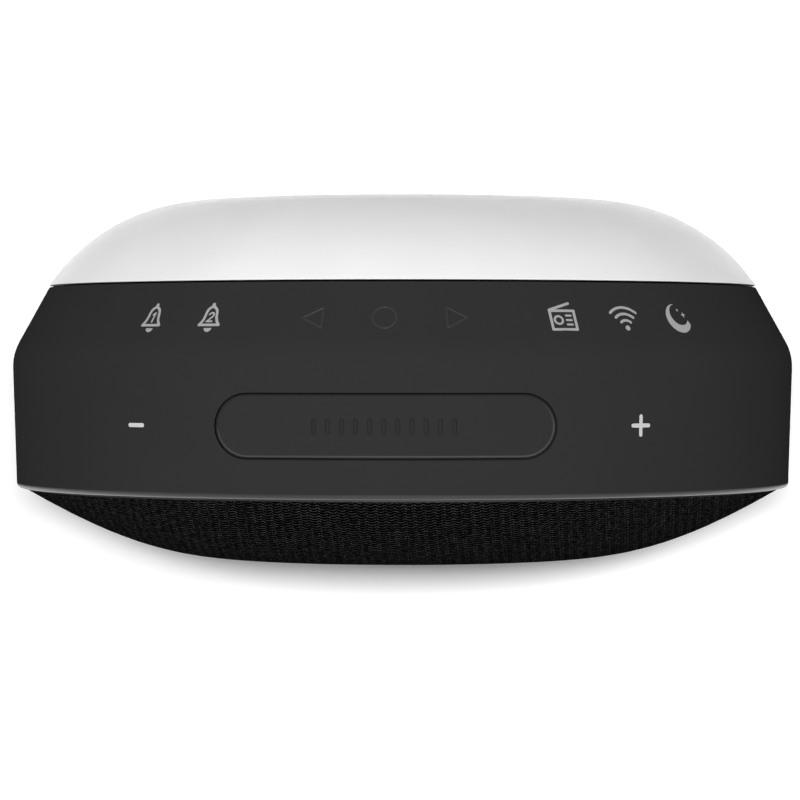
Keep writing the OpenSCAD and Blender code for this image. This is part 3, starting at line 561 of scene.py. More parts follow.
class Drum:
    """The turned body: its axis lies along Y, places along it are positive forward."""

    def __init__(self, sizes):
        low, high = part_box("band_housing")
        self.sizes = sizes
        self.f_rim, self.f_seam = -low.y, -high.y
        self.f_front, self.f_cloth = (-corner.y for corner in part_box("grille_cloth"))
        self.f_skirt, self.f_back = (-corner.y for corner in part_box("rear_light_dome"))
        self.f_dome = self.f_skirt - sizes.skirt_l
        self.f_crease = self.f_rim - sizes.band_depth
        self.draft = atan2(sizes.rim_taper, sizes.band_depth)
        self.slant = atan2(sizes.strip_taper, self.f_crease - self.f_seam)
        self.rear_r = sizes.crease_r - sizes.strip_taper
        shift = (1 / cos(self.slant) - 1 / cos(self.draft)) / (tan(self.draft) + tan(self.slant))
        self.ease_f = self.f_crease + sizes.crease_ease * shift
        self.ease_r = self.wall_r(self.ease_f, sizes.crease_ease)
        self.top_r = self.ease_r + sizes.crease_ease
        self.axis = high.z - self.top_r
        self.drop = self.axis - low.z
        self.snooze_f = self.f_rim - sizes.snooze_setback
        self.key_f = (self.f_crease + self.f_seam) / 2

    def wall_r(self, f, depth=0.0):
        return self.sizes.crease_r - (f - self.f_crease) * tan(self.draft) - depth / cos(self.draft)

    def strip_r(self, f, depth=0.0):
        return self.sizes.crease_r - (self.f_crease - f) * tan(self.slant) - depth / cos(self.slant)

    def point(self, x, y, f):
        """World point of a place in the drum's cross-section."""
        return Vector((x, -f, self.axis + y))

    def around(self, r, turn, f):
        """World point at a radius and an angle from the top."""
        return self.point(r * sin(turn), r * cos(turn), f)

    def over_bar(self, x, y, depth=0.0):
        """A point of the wall, and the skin's normal over it.

        The place is right and forward of the snooze bar's middle, and straight down by a depth."""
        f = self.snooze_f + y
        r = self.wall_r(f)
        rise = sqrt(r * r - x * x)
        normal = Vector((x / r * cos(self.draft), -sin(self.draft), rise / r * cos(self.draft)))
        return self.point(x, rise - depth, f), normal

    def keys(self):
        """Each key's name and place."""
        s = self.sizes
        volume = asin((s.snooze_l / 2 + s.volume_gap) / s.crease_r)
        turns = [(name, side * s.side_key + (side or 1) * step * s.key_pitch)
                 for name, side, step in STRIP_KEYS]
        return ([(name, KeyPlace(self, turn, True)) for name, turn in turns]
                + [(name, KeyPlace(self, side * volume, False)) for name, side in VOLUME_KEYS])

    def ring(self, r, sink, start):
        """Half a turn round a skin cut flat below: points, flat normals, and how far each is on the base.

        It starts at an angle from the top and goes down to the middle of the base."""
        ease = self.sizes.base_ease
        level = self.drop - sink
        cut = r > level
        end = max(start, acos(max(-1, (ease - level) / (r - ease))) if cut else pi)
        out = [(r * sin(a), r * cos(a), sin(a), cos(a), 0.0) for a in spread(start, end, SIDE_STEPS)]
        if not cut:
            return out + [out[-1]] * (TURN_STEPS + BASE_STEPS)
        x, y = (r - ease) * sin(end), (r - ease) * cos(end)
        for a, share in list(zip(spread(end, pi, TURN_STEPS), spread(0, 1, TURN_STEPS)))[1:]:
            out.append((x + ease * sin(a), y + ease * cos(a), sin(a), cos(a), share))
        return out + [(x * (1 - share), -level, 0.0, -1.0, 1.0) for share in spread(0, 1, BASE_STEPS)[1:]]


class KeyPlace:
    """Where a key lies on the skin: its middle and its directions right, up and out."""

    def __init__(self, drum, turn, on_strip):
        self.drum = drum
        self.on_strip = on_strip
        self.skin_r = drum.strip_r if on_strip else drum.wall_r
        self.tilt = drum.slant if on_strip else -drum.draft
        f = drum.key_f if on_strip else drum.snooze_f
        self.middle = drum.around(self.skin_r(f), turn, f)
        self.right = Vector((cos(turn), 0, -sin(turn)))
        self.out = self.tilted(Vector((sin(turn), 0, cos(turn))))
        self.up = self.out.cross(self.right)

    def tilted(self, around):
        return around * cos(self.tilt) + Vector((0, sin(self.tilt), 0))

    def drop(self, x, y, depth=0.0):
        """The skin's point, moved in by a depth, and its normal under a flat point over the key."""
        point = self.middle + self.right * x + self.up * y
        # A few rounds settle on the skin
        for _ in range(5):
            r = hypot(point.x, point.z - self.drum.axis)
            point = point - self.out * ((r - self.skin_r(-point.y)) * cos(self.tilt))
        normal = self.tilted(Vector((point.x, 0, point.z - self.drum.axis)).normalized())
        return point - normal * depth, normal


class Station:
    """One place on a turned skin's profile: radius, place, normal, how much higher its base is cut,
    whether its skin turns into the flat base, and the radius and place below it on the inner skin."""

    def __init__(self, r, f, nr, nf, sink=0.0, flat=1.0):
        self.r, self.f, self.nr, self.nf, self.sink, self.flat = r, f, nr, nf, sink, flat
        self.inner = (r, f)

    def values(self):
        return (self.r, self.f, self.nr, self.nf, *self.inner)


def turned(shell, drum, stations, start, uv=None):
    """Adds both sides of a turned skin from an angle from the top down to the base."""
    for side in (1, -1):
        rows = []
        for s in stations:
            row = []
            for x, y, nx, ny, share in drum.ring(s.r, s.sink, start):
                normal = Vector((side * s.nr * nx, -s.nf * (1 - share * s.flat), s.nr * ny))
                if normal.length < 1e-6:
                    normal = Vector((0, -s.nf, 0))
                spot = uv(s, side * x, y) if uv else (0.0, 0.0)
                row.append((drum.point(side * x, y, s.f), normal.normalized(), spot))
            rows.append(row)
        shell.rows(rows, False)


def arc_stations(r, f, ease, start, end, steps):
    """Stations of a rounded edge about a middle, between two angles of its normal; it ends above the base."""
    return [Station(r + ease * cos(a), f + ease * sin(a), cos(a), sin(a), 0.0, 0.0)
            for a in spread(start, end, steps)]


def dome_stations(edge_r, flat_r, height, slope, f, sign, steps):
    """Stations of a domed skin from its edge to its flat middle, along a Bezier curve."""
    pull = 0.35 * hypot(edge_r - flat_r, height)
    radii = (edge_r, edge_r - pull * cos(slope), flat_r + pull, flat_r)
    heights = (0, pull * sin(slope), height, height)
    out = []
    for t in spread(0, 1, steps):
        u = 1 - t
        r, h = (u ** 3 * a + 3 * t * u * u * b + 3 * t * t * u * c + t ** 3 * d
                for a, b, c, d in (radii, heights))
        dr, dh = (u * u * (b - a) + 2 * t * u * (c - b) + t * t * (d - c) for a, b, c, d in (radii, heights))
        n = hypot(dr, dh)
        out.append(Station(r, f + sign * h, dh / n, -sign * dr / n))
    return out


def run_lengths(stations):
    """Length along the profile up to each station."""
    out = [0.0]
    for a, b in zip(stations, stations[1:]):
        out.append(out[-1] + hypot(b.r - a.r, b.f - a.f))
    return out


# The band and what lies in it

def band_profile(drum):
    """Stations of the band from the inner edge of its front rim to the inner edge of its rear rim."""
    s = drum.sizes
    front = (drum.wall_r(drum.f_rim, s.wall), drum.f_rim)
    rear = (drum.strip_r(drum.f_seam, s.wall), drum.f_seam)
    rim_f = drum.f_rim - s.rim_ease
    rim_r = drum.wall_r(rim_f, s.rim_ease)
    rear_f = drum.f_seam + s.edge_ease
    rear_r = drum.strip_r(rear_f, s.edge_ease)
    out = [Station(*front, 0, 1, s.floor_t, 0), Station(rim_r, drum.f_rim, 0, 1, s.rim_ease, 0)]
    for st in arc_stations(rim_r, rim_f, s.rim_ease, pi / 2, drum.draft, RIM_STEPS)[1:]:
        st.sink = max(0.0, rim_r + s.rim_ease - st.r)
        out.append(st)
    out[-1].flat = 1.0
    for f in spread(out[-1].f, drum.ease_f + s.crease_ease * sin(drum.draft), WALL_STEPS)[1:]:
        out.append(Station(drum.wall_r(f), f, cos(drum.draft), sin(drum.draft)))
    crease = arc_stations(drum.ease_r, drum.ease_f, s.crease_ease, drum.draft, -drum.slant, CREASE_STEPS)
    for st in crease[1:]:
        st.flat = 1.0
        out.append(st)
    strip_start = drum.ease_f - s.crease_ease * sin(drum.slant)
    for f in spread(strip_start, rear_f - s.edge_ease * sin(drum.slant), STRIP_STEPS)[1:]:
        out.append(Station(drum.strip_r(f), f, cos(drum.slant), -sin(drum.slant)))
    for st in arc_stations(rear_r, rear_f, s.edge_ease, -drum.slant, -pi / 2, EDGE_STEPS)[1:]:
        st.sink = rear_r + s.edge_ease - st.r
        out.append(st)
    out.append(Station(*rear, 0, -1, s.floor_t, 0))
    for st in out:
        if abs(st.nf) < sin(drum.slant) + 1e-4 and st.flat:
            st.inner = (st.r - s.wall * st.nr, st.f - s.wall * st.nf)
        else:
            st.inner = front if st.nf > 0 else rear
    return out


class Unrolled:
    """The band's skin laid flat: angle times the top radius across, length along its profile upward."""

    def __init__(self, drum, stations):
        self.drum = drum
        self.stations = stations
        self.lengths = run_lengths(stations)

    def lay(self, point):
        """Where a point of the outer skin lies on the flat skin."""
        f = -point.y
        for i in range(2, len(self.stations)):
            a, b = self.stations[i - 1], self.stations[i]
            if b.f <= f <= a.f and a.f - b.f > SAME:
                share = (a.f - f) / (a.f - b.f)
                along = self.lengths[i - 1] + (self.lengths[i] - self.lengths[i - 1]) * share
                return (atan2(point.x, point.z - self.drum.axis) * self.drum.top_r, along)
        raise ValueError("the place is not on the skin")

    def lift(self, spot):
        """The skin's point and normal over a flat spot, and the point below on the inner skin."""
        across, along = spot
        i = 1
        while i < len(self.lengths) - 1 and self.lengths[i] < along:
            i += 1
        start, end = self.lengths[i - 1:i + 1]
        share = clamp((along - start) / max(SAME, end - start))
        pairs = zip(self.stations[i - 1].values(), self.stations[i].values())
        r, f, nr, nf, inner_r, inner_f = (a + (b - a) * share for a, b in pairs)
        turn = across / self.drum.top_r
        flat = Vector((nr, nf)).normalized()
        normal = Vector((flat.x * sin(turn), -flat.y, flat.x * cos(turn)))
        return self.drum.around(r, turn, f), normal, self.drum.around(inner_r, turn, inner_f)


def to_middle(out):
    """The level direction into an opening of the wall's top, from its flat outward direction."""
    return Vector((-out.x, out.y, 0))


def band_skin(drum):
    """The band's outer and inner skin, with the openings for the keys and the snooze bar."""
    s = drum.sizes
    stations = band_profile(drum)
    flat = Unrolled(drum, stations)
    shell = Shell()
    holes, known = [], {}

    def key(spot):
        return tuple(round(c * POINT_GRID) for c in spot)

    def open_at(rim):
        """Keeps an opening's outline on the flat skin, and the true places of its corners."""
        outline = [flat.lay(p) for p, n, below in rim]
        known.update(zip(map(key, outline), rim))
        holes.append(Loop(outline))

    for _, place in drum.keys():
        rim = [place.drop(x, y) for x, y in circle(s.key_r + s.key_slit, KEY_STEPS)]
        rim = [(p, n, p - place.out * s.wall) for p, n in rim]
        sides = [(place.middle - p).normalized() for p, n, below in rim]
        shell.rows([[(spots[i], side) for spots, side in zip(rim, sides)] for i in (0, 2)])
        open_at(rim)
    ease = s.mouth_ease
    mouth = dense(stadium(s.snooze_l + 2 * ease, s.snooze_w + 2 * ease), MOUTH_FACE)
    rows = rolled(mouth, rounded(ease, MOUTH_STEPS), drum.over_bar, to_middle)
    rows.append([(p - Vector((0, 0, s.wall - ease)), n) for p, n in rows[-1]])
    shell.rows(rows)
    open_at([(p, n, below) for (p, n), (below, _) in zip(rows[0], rows[-1])])

    quarter = pi / 2 * drum.top_r
    across = spread(-quarter, quarter, BAND_COLUMNS)
    along = flat.lengths[1:-1]
    outline = ([(x, 0.0) for x in across] + [(quarter, l) for l in along]
               + [(x, flat.lengths[-1]) for x in reversed(across)] + [(-quarter, l) for l in reversed(along)])
    gap = 0.6 * MM
    loose = [(x, l) for x in across[1:-1] for l in along
             if not any(hole.holds((x, l)) or hole.near((x, l), gap) for hole in holes)]
    corners, faces = filled([Loop(outline), *holes], loose)
    places = [known.get(key(q)) or flat.lift(q) for q in corners]
    shell.cover(faces, [(p, n) for p, n, below in places])
    shell.cover(faces, [(below, -n) for p, n, below in places])
    turned(shell, drum, stations, pi / 2)
    inner = [Station(*st.inner, -st.nr, -st.nf, s.floor_t) for st in stations if st.flat]
    turned(shell, drum, inner, pi / 2)
    return shell


def key_cap(place):
    """A round cap whose top is the skin's own form, with its side and underside."""
    s = place.drum.sizes
    shell = Shell()
    rim = circle(s.key_r - s.key_slit, KEY_STEPS)
    corners, faces = patch(rim, [], KEY_FACE)
    shell.cover(faces, [place.drop(x, y) for x, y in corners])
    tops = [place.drop(x, y)[0] for x, y in rim]
    level = [p - place.out * (p - place.middle).dot(place.out) for p in tops]
    sides = [(p - place.middle).normalized() for p in level]
    low = [p - place.out * (s.wall + s.flange_gap) for p in level]
    shell.rows([zip(tops, sides), zip(low, sides)])
    shell.face([shell.add(p, -place.out) for p in low])
    return shell


def snooze_shell(drum):
    """The snooze bar: its top follows the band, its edge is rounded, and a row of marks is sunk in it."""
    s = drum.sizes
    shell = Shell()
    edge = dense(stadium(s.snooze_l - 2 * s.snooze_gap, s.snooze_w - 2 * s.snooze_gap), BAR_FACE)
    ease = s.slot_ease
    mark = [(x, y) for y, x in reversed(stadium(s.slot_l + 2 * ease, s.slot_w + 2 * ease, SLOT_STEPS))]
    middles = [(i - (s.slot_count - 1) / 2) * s.slot_pitch for i in range(s.slot_count)]
    slots = [[(x + middle, y) for x, y in mark] for middle in middles]
    wide, deep = s.bar_edge_w, s.bar_edge_d
    corners, faces = patch(grown(edge, -wide), slots, BAR_FACE)
    shell.cover(faces, [drum.over_bar(x, y) for x, y in corners])

    def line(loop, depth, normals):
        """Places along a flat outline, straight below the skin by a depth."""
        return [(drum.over_bar(x, y, depth)[0], n) for (x, y), n in zip(loop, normals)]

    steps = [(wide * (sin(a) - 1), deep * (1 - cos(a)), wide * cos(a), deep * sin(a))
             for a in spread(0, pi / 2, BAR_STEPS)]
    rows = rolled(edge, steps, drum.over_bar, lambda out: -to_middle(out))
    # The map's X is the edge's share of glossy coat, a painted highlight: most on the front, some on the
    # right
    highlight_share = [clamp(0.5 + out.y + 0.5 * out.x) for out in outward(edge)]
    rows = [[(*place, (clamp((k - 1) / 2) * share, 0.0)) for place, share in zip(row, highlight_share)]
            for k, row in enumerate(rows)]
    sides = [-to_middle(out) for out in outward(edge)]
    up = [Vector((0, 0, 1))] * len(edge)
    flange = grown(edge, s.snooze_gap + s.snooze_flange)
    high = s.wall + s.flange_gap
    low = high + s.flange_t
    shell.rows(rows + [line(edge, high, sides)])
    shell.rows([line(edge, high, up), line(flange, high, up)])
    shell.rows([line(flange, high, sides), line(flange, low, sides)])
    corners, faces = patch(flange, [], BAR_FACE)
    shell.cover(faces, line(corners, low, [Vector((0, 0, -1))] * len(corners)))

    # Steps for rolled() down a sunk mark's side
    eased = [(0, 0, 1, 0), (-0.3 * ease, 0.1 * ease, 0.65, 0.35), (-0.75 * ease, 0.45 * ease, 0.25, 0.75),
             (-ease, ease, 0, 1), (-ease, s.slot_d, 0, 1)]
    for slot in slots:
        shell.rows(rolled(slot, eased, drum.over_bar, to_middle))
        corners, faces = patch(grown(slot, -ease), [], SLOT_FACE)
        shell.cover(faces, [drum.over_bar(x, y, s.slot_d) for x, y in corners])
    return shell


# Signs: each is a list of flat outlines in millimetres, right and up on its key

def bar(x0, y0, x1, y1, w):
    """A straight stroke with round ends."""
    turn = atan2(y1 - y0, x1 - x0)
    start = arc(x0, y0, w / 2, turn + pi / 2, turn + 1.5 * pi, END_STEPS)
    return [start + arc(x1, y1, w / 2, turn - pi / 2, turn + pi / 2, END_STEPS)]


def stroke(points, w, closed=False):
    """A line of strokes through points."""
    ends = points[1:] + points[:1] if closed else points[1:]
    return [part for a, b in zip(points, ends) for part in bar(*a, *b, w)]


def star(x, y, r):
    """A small star of four points."""
    tips, dents = circle(r, 4, x, y), arc(x, y, 0.36 * r, pi / 4, 7 * pi / 4, 3)
    return [[p for pair in zip(tips, dents) for p in pair]]


def bell(digit):
    side = [(0.0, 2.75), (0.62, 2.5), (1.1, 1.95), (1.32, 1.2), (1.46, 0.2), (1.75, -0.75), (2.45, -1.75)]
    left = [(-x, y) for x, y in reversed(side)]
    clapper = arc(0, -2.55, 0.95, pi, 2 * pi, 10)
    leaning = [[(x + 0.16 * y, y + 0.1) for x, y in part] for part in digit]
    return stroke(left + side[1:], 0.62, True) + bar(0, 2.9, 0, 3.3, 0.8) + [clapper] + leaning


def one():
    return stroke([(-0.4, 0.75), (0.12, 1.15), (0.12, -1.0)], 0.44)


def two():
    return stroke(arc(0, 0.55, 0.58, radians(165), radians(-45), 7) + [(-0.6, -1.0), (0.66, -1.0)], 0.42)


def radio():
    parts = stroke([(-2.9, -2.9), (2.8, -2.9), (2.8, 1.7), (-2.9, 1.7)], 0.62, True)
    parts += bar(-2.9, 1.9, 1.9, 3.5, 0.62)
    parts += stroke(arc(-1.15, -0.6, 0.95, 0, 2 * pi, 20), 0.5)
    for y in (0.5, -0.6, -1.7):
        parts += bar(0.75, y, 1.9, y, 0.5)
    return parts


def wireless():
    parts = [circle(0.62, 16, 0, -2.5)]
    for r in (1.9, 3.5, 5.1):
        parts += stroke(arc(0, -2.5, r, radians(48), radians(132), 14), 0.62)
    return parts


def moon():
    """A crescent between two arcs, and two stars."""
    steps = 40
    outer = arc(0.3, 0, 3.6, radians(88), radians(335), steps)
    inner = arc(0.814, 0.947, 2.636, radians(99), radians(328), steps)
    quads = [[outer[i], outer[i + 1], inner[i + 1], inner[i]] for i in range(steps)]
    return quads + star(0.95, 2.1, 0.45) + star(2.3, 0.9, 0.75)


PRINTED = {"key_alarm_1": bell(one()), "key_alarm_2": bell(two()), "key_radio": radio(),
           "key_wireless": wireless(), "key_sleep": moon(), "key_volume_down": bar(-1.85, 0, 1.85, 0, 0.9),
           "key_volume_up": bar(-2.1, 0, 2.1, 0, 0.88) + bar(0, -2.0, 0, 2.0, 0.88)}
RAISED = {"key_previous": [(2.2, 2.5), (-2.2, 0), (2.2, -2.5)], "key_play": circle(2.55, 40),
          "key_next": [(-2.2, -2.5), (2.2, 0), (-2.2, 2.5)]}


def printed_sign(place, parts):
    """A flat sign laid on a key's skin, a paint's thickness proud."""
    lift = place.drum.sizes.sign_lift
    points, outlines = [], []
    for part in parts:
        outlines.append(tuple(range(len(points), len(points) + len(part))))
        points += [Vector((x * MM, y * MM)) for x, y in part]
    # A grid over the whole key lets the print follow its curve
    step, reach = 0.5 * MM, range(-9, 10)
    points += [Vector((step * i, step * j)) for i in reach for j in reach]
    corners, _, triangles, _, _, origins = delaunay_2d_cdt(points, [], outlines, 1, SAME)
    kept = [triangle for triangle, origin in zip(triangles, origins) if origin]
    shell = Shell()
    shell.cover(kept, [place.drop(x, y, -lift) for x, y in corners])
    edges = [(triangle[i - 1], triangle[i]) for triangle in kept for i in range(3)]
    shared = set(edges)
    for a, b in edges:
        if (b, a) not in shared:
            ends = [place.drop(*corners[i]) for i in (a, b)]
            side = (ends[1][0] - ends[0][0]).normalized().cross(ends[0][1])
            shell.rows([[(p + n * way, side) for p, n in ends] for way in (lift, -lift)], False)
    return shell


def raised_sign(place, loop):
    """A low ridge along a closed outline on a key's skin, rooted a little below it."""
    s = place.drum.sizes
    half, high, root = s.ridge_w / 2, s.ridge_h, 0.01 * MM
    line = dense([(x * MM, y * MM) for x, y in loop], RIDGE_FACE)
    steps = [(-cos(a) * half, root - sin(a) * high, sin(a) * half + SAME, -cos(a) * high)
             for a in spread(0, pi, RIDGE_STEPS)]
    shell = Shell()
    shell.rows(rolled(line, steps, place.drop, lambda out: place.right * out.x + place.up * out.y))
    return shell


# The dome and the cloth

def flat_middle(shell, drum, r, f, sign, hole, depth):
    """Adds the flat middle of a dome, with an opening whose edge is rounded, and the opening's side."""
    half = [place[:2] for place in drum.ring(r, 0.0, 0.0)[:SIDE_STEPS + 1]]
    ring = [(-x, y) for x, y in half[1:]] + half[-2::-1]
    ease = drum.sizes.hole_ease
    rim = grown(hole, ease)
    normal = Vector((0, -sign, 0))

    def place(x, y, down=0.0):
        return drum.point(x, y, f - sign * down), normal

    def into(out):
        return Vector((-out.x, 0, -out.y))

    def spotted(places):
        return [(p, n, (p.x, p.z - drum.axis)) for p, n in places]

    corners, faces = patch(ring, [rim], FLAT_FACE)
    shell.cover(faces, spotted(place(x, y) for x, y in corners))
    rows = rolled(rim, rounded(ease, HOLE_STEPS), place, into)
    rows.append([(place(x, y, depth)[0], into(out)) for (x, y), out in zip(hole, outward(hole))])
    shell.rows([spotted(row) for row in rows])
    return corners, faces


def dome_shell(drum):
    """The light dome: a rounded lip, its curve to the flat back, the socket opening and the skirt."""
    s = drum.sizes
    shell = Shell()
    height = drum.f_dome - drum.f_back
    skin = dome_stations(drum.rear_r, s.dome_flat_r, height, s.dome_angle, drum.f_dome, -1, DOME_STEPS)
    ease, thick = s.dome_lip, s.dome_t
    lean = atan2(skin[0].nf, skin[0].nr)
    # The lip keeps a hair inside the curve that it ends
    lip = arc_stations(drum.rear_r - 1.05 * ease, drum.f_dome - ease, ease, lean, pi / 2, LIP_STEPS)
    for st in lip:
        st.sink = max(0.0, lip[0].r - st.r)
    lip[0].flat = 1.0
    skin = [st for st in skin if st.f < lip[0].f and st.r < lip[0].r + 0.1 * MM]
    inner = [Station(st.r - thick * st.nr, st.f - thick * st.nf, -st.nr, -st.nf, thick)
             for st in reversed(skin)]
    skirt_r = drum.strip_r(drum.f_seam, s.wall) - s.skirt_gap
    low = s.floor_t + s.skirt_gap
    front, back = drum.f_skirt, drum.f_dome
    corners = [(lip[-1].r, back), (skirt_r, back), (skirt_r, front), (skirt_r - thick, front),
               (skirt_r - thick, back)]
    normals = [(0, 1), (1, 0), (0, 1), (-1, 0)]
    skirt = [Station(*end, nr, nf, low, abs(nr))
             for side, (nr, nf) in zip(zip(corners, corners[1:]), normals) for end in side]
    for stations in (skin[::-1] + lip, skirt, inner):
        turned(shell, drum, stations, 0.0)
    hole = dense([(x, y - s.socket_drop) for x, y in stadium(s.socket_w, s.socket_h)], FLAT_FACE)
    corners, faces = flat_middle(shell, drum, skin[-1].r, drum.f_back, -1, hole, thick)
    shell.cover(faces, [(drum.point(x, y, drum.f_back + thick), (0, -1, 0)) for x, y in corners])
    return shell


def cloth_shell(drum):
    """The cloth over the grille: turned in at its edge and round the display's opening."""
    s = drum.sizes
    shell = Shell()
    edge_r = drum.wall_r(drum.f_rim) - s.rim_lip
    height = drum.f_front - drum.f_cloth
    skin = dome_stations(edge_r, s.grille_flat_r, height, s.grille_angle, drum.f_cloth, 1, CLOTH_STEPS)
    lengths = run_lengths(skin)
    reach = s.grille_flat_r + lengths[-1]
    for st, run in zip(skin, lengths):
        st.reach = reach - run
    tuck = Station(edge_r - s.cloth_tuck, drum.f_cloth, 0, -1, s.cloth_tuck, 0)
    tuck.reach = reach + s.cloth_tuck

    def uv(st, x, y):
        """The cloth laid flat: its full reach along the courses' way, half the stretch across."""
        span = hypot(x, y) or 1.0
        return (x * (1 + (st.reach / span - 1) * 0.5), y / span * st.reach)

    turned(shell, drum, [tuck, *skin], 0.0, uv)
    hole = dense(rounded_rect(s.window_w, s.window_h, s.window_corner), FLAT_FACE)
    flat_middle(shell, drum, s.grille_flat_r, drum.f_front, 1, hole, s.cloth_t)
    return shell


# Display

SEGMENTS = {"0": "abcdef", "1": "bc", "2": "abged", "3": "abgcd", "4": "fgbc", "5": "afgcd", "6": "afgedc",
            "7": "abc", "8": "abcdefg", "9": "abfgcd"}
# Width of a segment as a share of the digit's height
SEGMENT_W = 0.115


def segment_shells(drum, digits):
    """The display's lit and unlit segments, where the CAD has them all."""
    s = drum.sizes
    low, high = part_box("display_segments")
    width = s.digit_h * SEGMENT_W
    pitch = (high.x - low.x + s.digit_gap - 2 * s.colon_room) / 4
    x, y = (pitch - s.digit_gap - width) / 2, (s.digit_h - width) / 2
    # Each segment's middle, and whether it stands upright
    bars = {"a": (0, y, 0), "g": (0, 0, 0), "d": (0, -y, 0), "f": (-x, y / 2, 1), "b": (x, y / 2, 1),
            "e": (-x, -y / 2, 1), "c": (x, -y / 2, 1)}
    shells = {True: Shell(), False: Shell()}

    def block(shell, loop):
        """Adds a segment with a flat outline, as deep as the CAD's segments."""
        front, back = ([drum.point(*q, -face_y) for q in loop] for face_y in (low.y, high.y))
        for points, way in ((front, -1), (back, 1)):
            shell.face([shell.add(p, (0, way, 0)) for p in points])
        for i in range(len(loop)):
            along = front[i] - front[i - 1]
            normal = Vector((along.z, 0, -along.x)).normalized()
            shell.rows([[(points[j], normal) for j in (i, i - 1)] for points in (front, back)], False)

    for i, digit in enumerate(digits):
        middle = (i - 1.5) * pitch + (s.colon_room if i > 1 else -s.colon_room)
        for name, (cx, cy, upright) in bars.items():
            end = ((y if upright else 2 * x) - s.segment_gap) / 2
            w = width / 2
            loop = [(end, 0), (end - w, w), (w - end, w), (-end, 0), (w - end, -w), (end - w, -w)]
            if upright:
                loop = [(-b, a) for a, b in loop]
            block(shells[name in SEGMENTS[digit]], [(middle + cx + a, cy + b) for a, b in loop])
    for side in (1, -1):
        block(shells[True], circle(width / 2, 24, 0, side * s.digit_h / 5))
    return shells


# Operators

class ClockOperator:
    """What the operators share: the sizes, the colours and the drum."""

    @property
    def sizes(self):
        return bpy.context.scene.clock_sizes

    @property
    def colours(self):
        return bpy.context.scene.clock_colours

    @property
    def drum(self):
        return Drum(self.sizes)


def soft_touch(name, tone, **more):
    """Matt rubbery paint, which shines only where it has a glossy coat: polish on the band's rim, a painted
    highlight on the snooze bar's edge.
    """
    return moulded(name, tone, roughness=0.6, Specular_IOR_Level=0.0, **more)


class CLOCK_OT_band(ClockOperator, bpy.types.Operator):
    """Builds the band's skin with its openings"""
    bl_idname = "clock.band"
    bl_label = "Band"

    def execute(self, context):
        # The front rim's rounding is polished from its rear end on
        ease = self.sizes.rim_ease
        edge = self.drum.f_rim - ease
        look = soft_touch("soft_touch", self.colours.band, polished=lambda tree: tree.past(edge, 0.5 * ease))
        band_skin(self.drum).piece("band", look, BODY, "band_housing")
        return {"FINISHED"}


class CLOCK_OT_keys(ClockOperator, bpy.types.Operator):
    """Builds the round keys with their printed and raised signs"""
    bl_idname = "clock.keys"
    bl_label = "Keys"

    def execute(self, context):
        look = soft_touch("key_soft_touch", self.colours.keys)
        ridge = soft_touch("ridge_soft_touch", self.colours.keys, Coat_Weight=0.25, Coat_Roughness=POLISH)
        ink = moulded("sign_ink", self.colours.sign, roughness=0.55)
        volume_ink = moulded("volume_ink", self.colours.volume, roughness=0.55)
        for name, place in self.drum.keys():
            key_cap(place).piece(name + "_cap", look, name, name)
            if name in PRINTED:
                sign = printed_sign(place, PRINTED[name])
                sign.piece(name + "_sign", ink if place.on_strip else volume_ink, name)
            else:
                raised_sign(place, RAISED[name]).piece(name + "_ridge", ridge, name)
        return {"FINISHED"}


class CLOCK_OT_snooze(ClockOperator, bpy.types.Operator):
    """Builds the snooze bar"""
    bl_idname = "clock.snooze"
    bl_label = "Snooze bar"

    def execute(self, context):
        # The coat on the bar's edge is a painted highlight, laid only on its front and right
        look = soft_touch("bar_soft_touch", self.colours.keys, polished=lambda tree: tree.mapped()[0])
        snooze_shell(self.drum).piece("snooze", look, "snooze_bar", "snooze_bar")
        return {"FINISHED"}


class CLOCK_OT_dome(ClockOperator, bpy.types.Operator):
    """Builds the light dome, with black painted on its skirt as shade in the seam's gap, where a black part
    sits behind the seam
    """
    bl_idname = "clock.dome"
    bl_label = "Light dome"

    def execute(self, context):
        edge = self.drum.f_dome
        # The skirt forward of the dome's edge is painted black: painted shade in the seam's gap, where a
        # black part sits behind the seam
        look = moulded("opal", self.colours.dome, roughness=0.2, grain=0.02, depth=0.001 * MM,
                       Specular_IOR_Level=0.06, gap_shade=lambda tree: tree.past(edge, 0.02 * MM))
        dome_shell(self.drum).piece("light_dome", look, BODY, "rear_light_dome")
        return {"FINISHED"}


class CLOCK_OT_cloth(ClockOperator, bpy.types.Operator):
    """Builds the grille cloth"""
    bl_idname = "clock.cloth"
    bl_label = "Grille cloth"

    def execute(self, context):
        look = knit("knit_cloth", self.sizes, self.colours.yarn, self.colours.ground)
        cloth = cloth_shell(self.drum).piece("cloth", look, BODY, "grille_cloth")
        return {"FINISHED"}


class CLOCK_OT_display(ClockOperator, bpy.types.Operator):
    """Builds the display's lit and unlit segments"""
    bl_idname = "clock.display"
    bl_label = "Display"

    def execute(self, context):
        digits = self.colours.digits
        if len(digits) != 4 or not digits.isdigit():
            raise ValueError("the display shows four digits")
        shells = segment_shells(self.drum, digits)
        glow = lit("segment_light", self.colours.light, 1.1)
        shells[True].piece("segments_lit", glow, BODY, "display_segments")
        dark = moulded("segment_dark", (0.02, 0.02, 0.022), roughness=0.5)
        shells[False].piece("segments_unlit", dark, BODY)
        return {"FINISHED"}


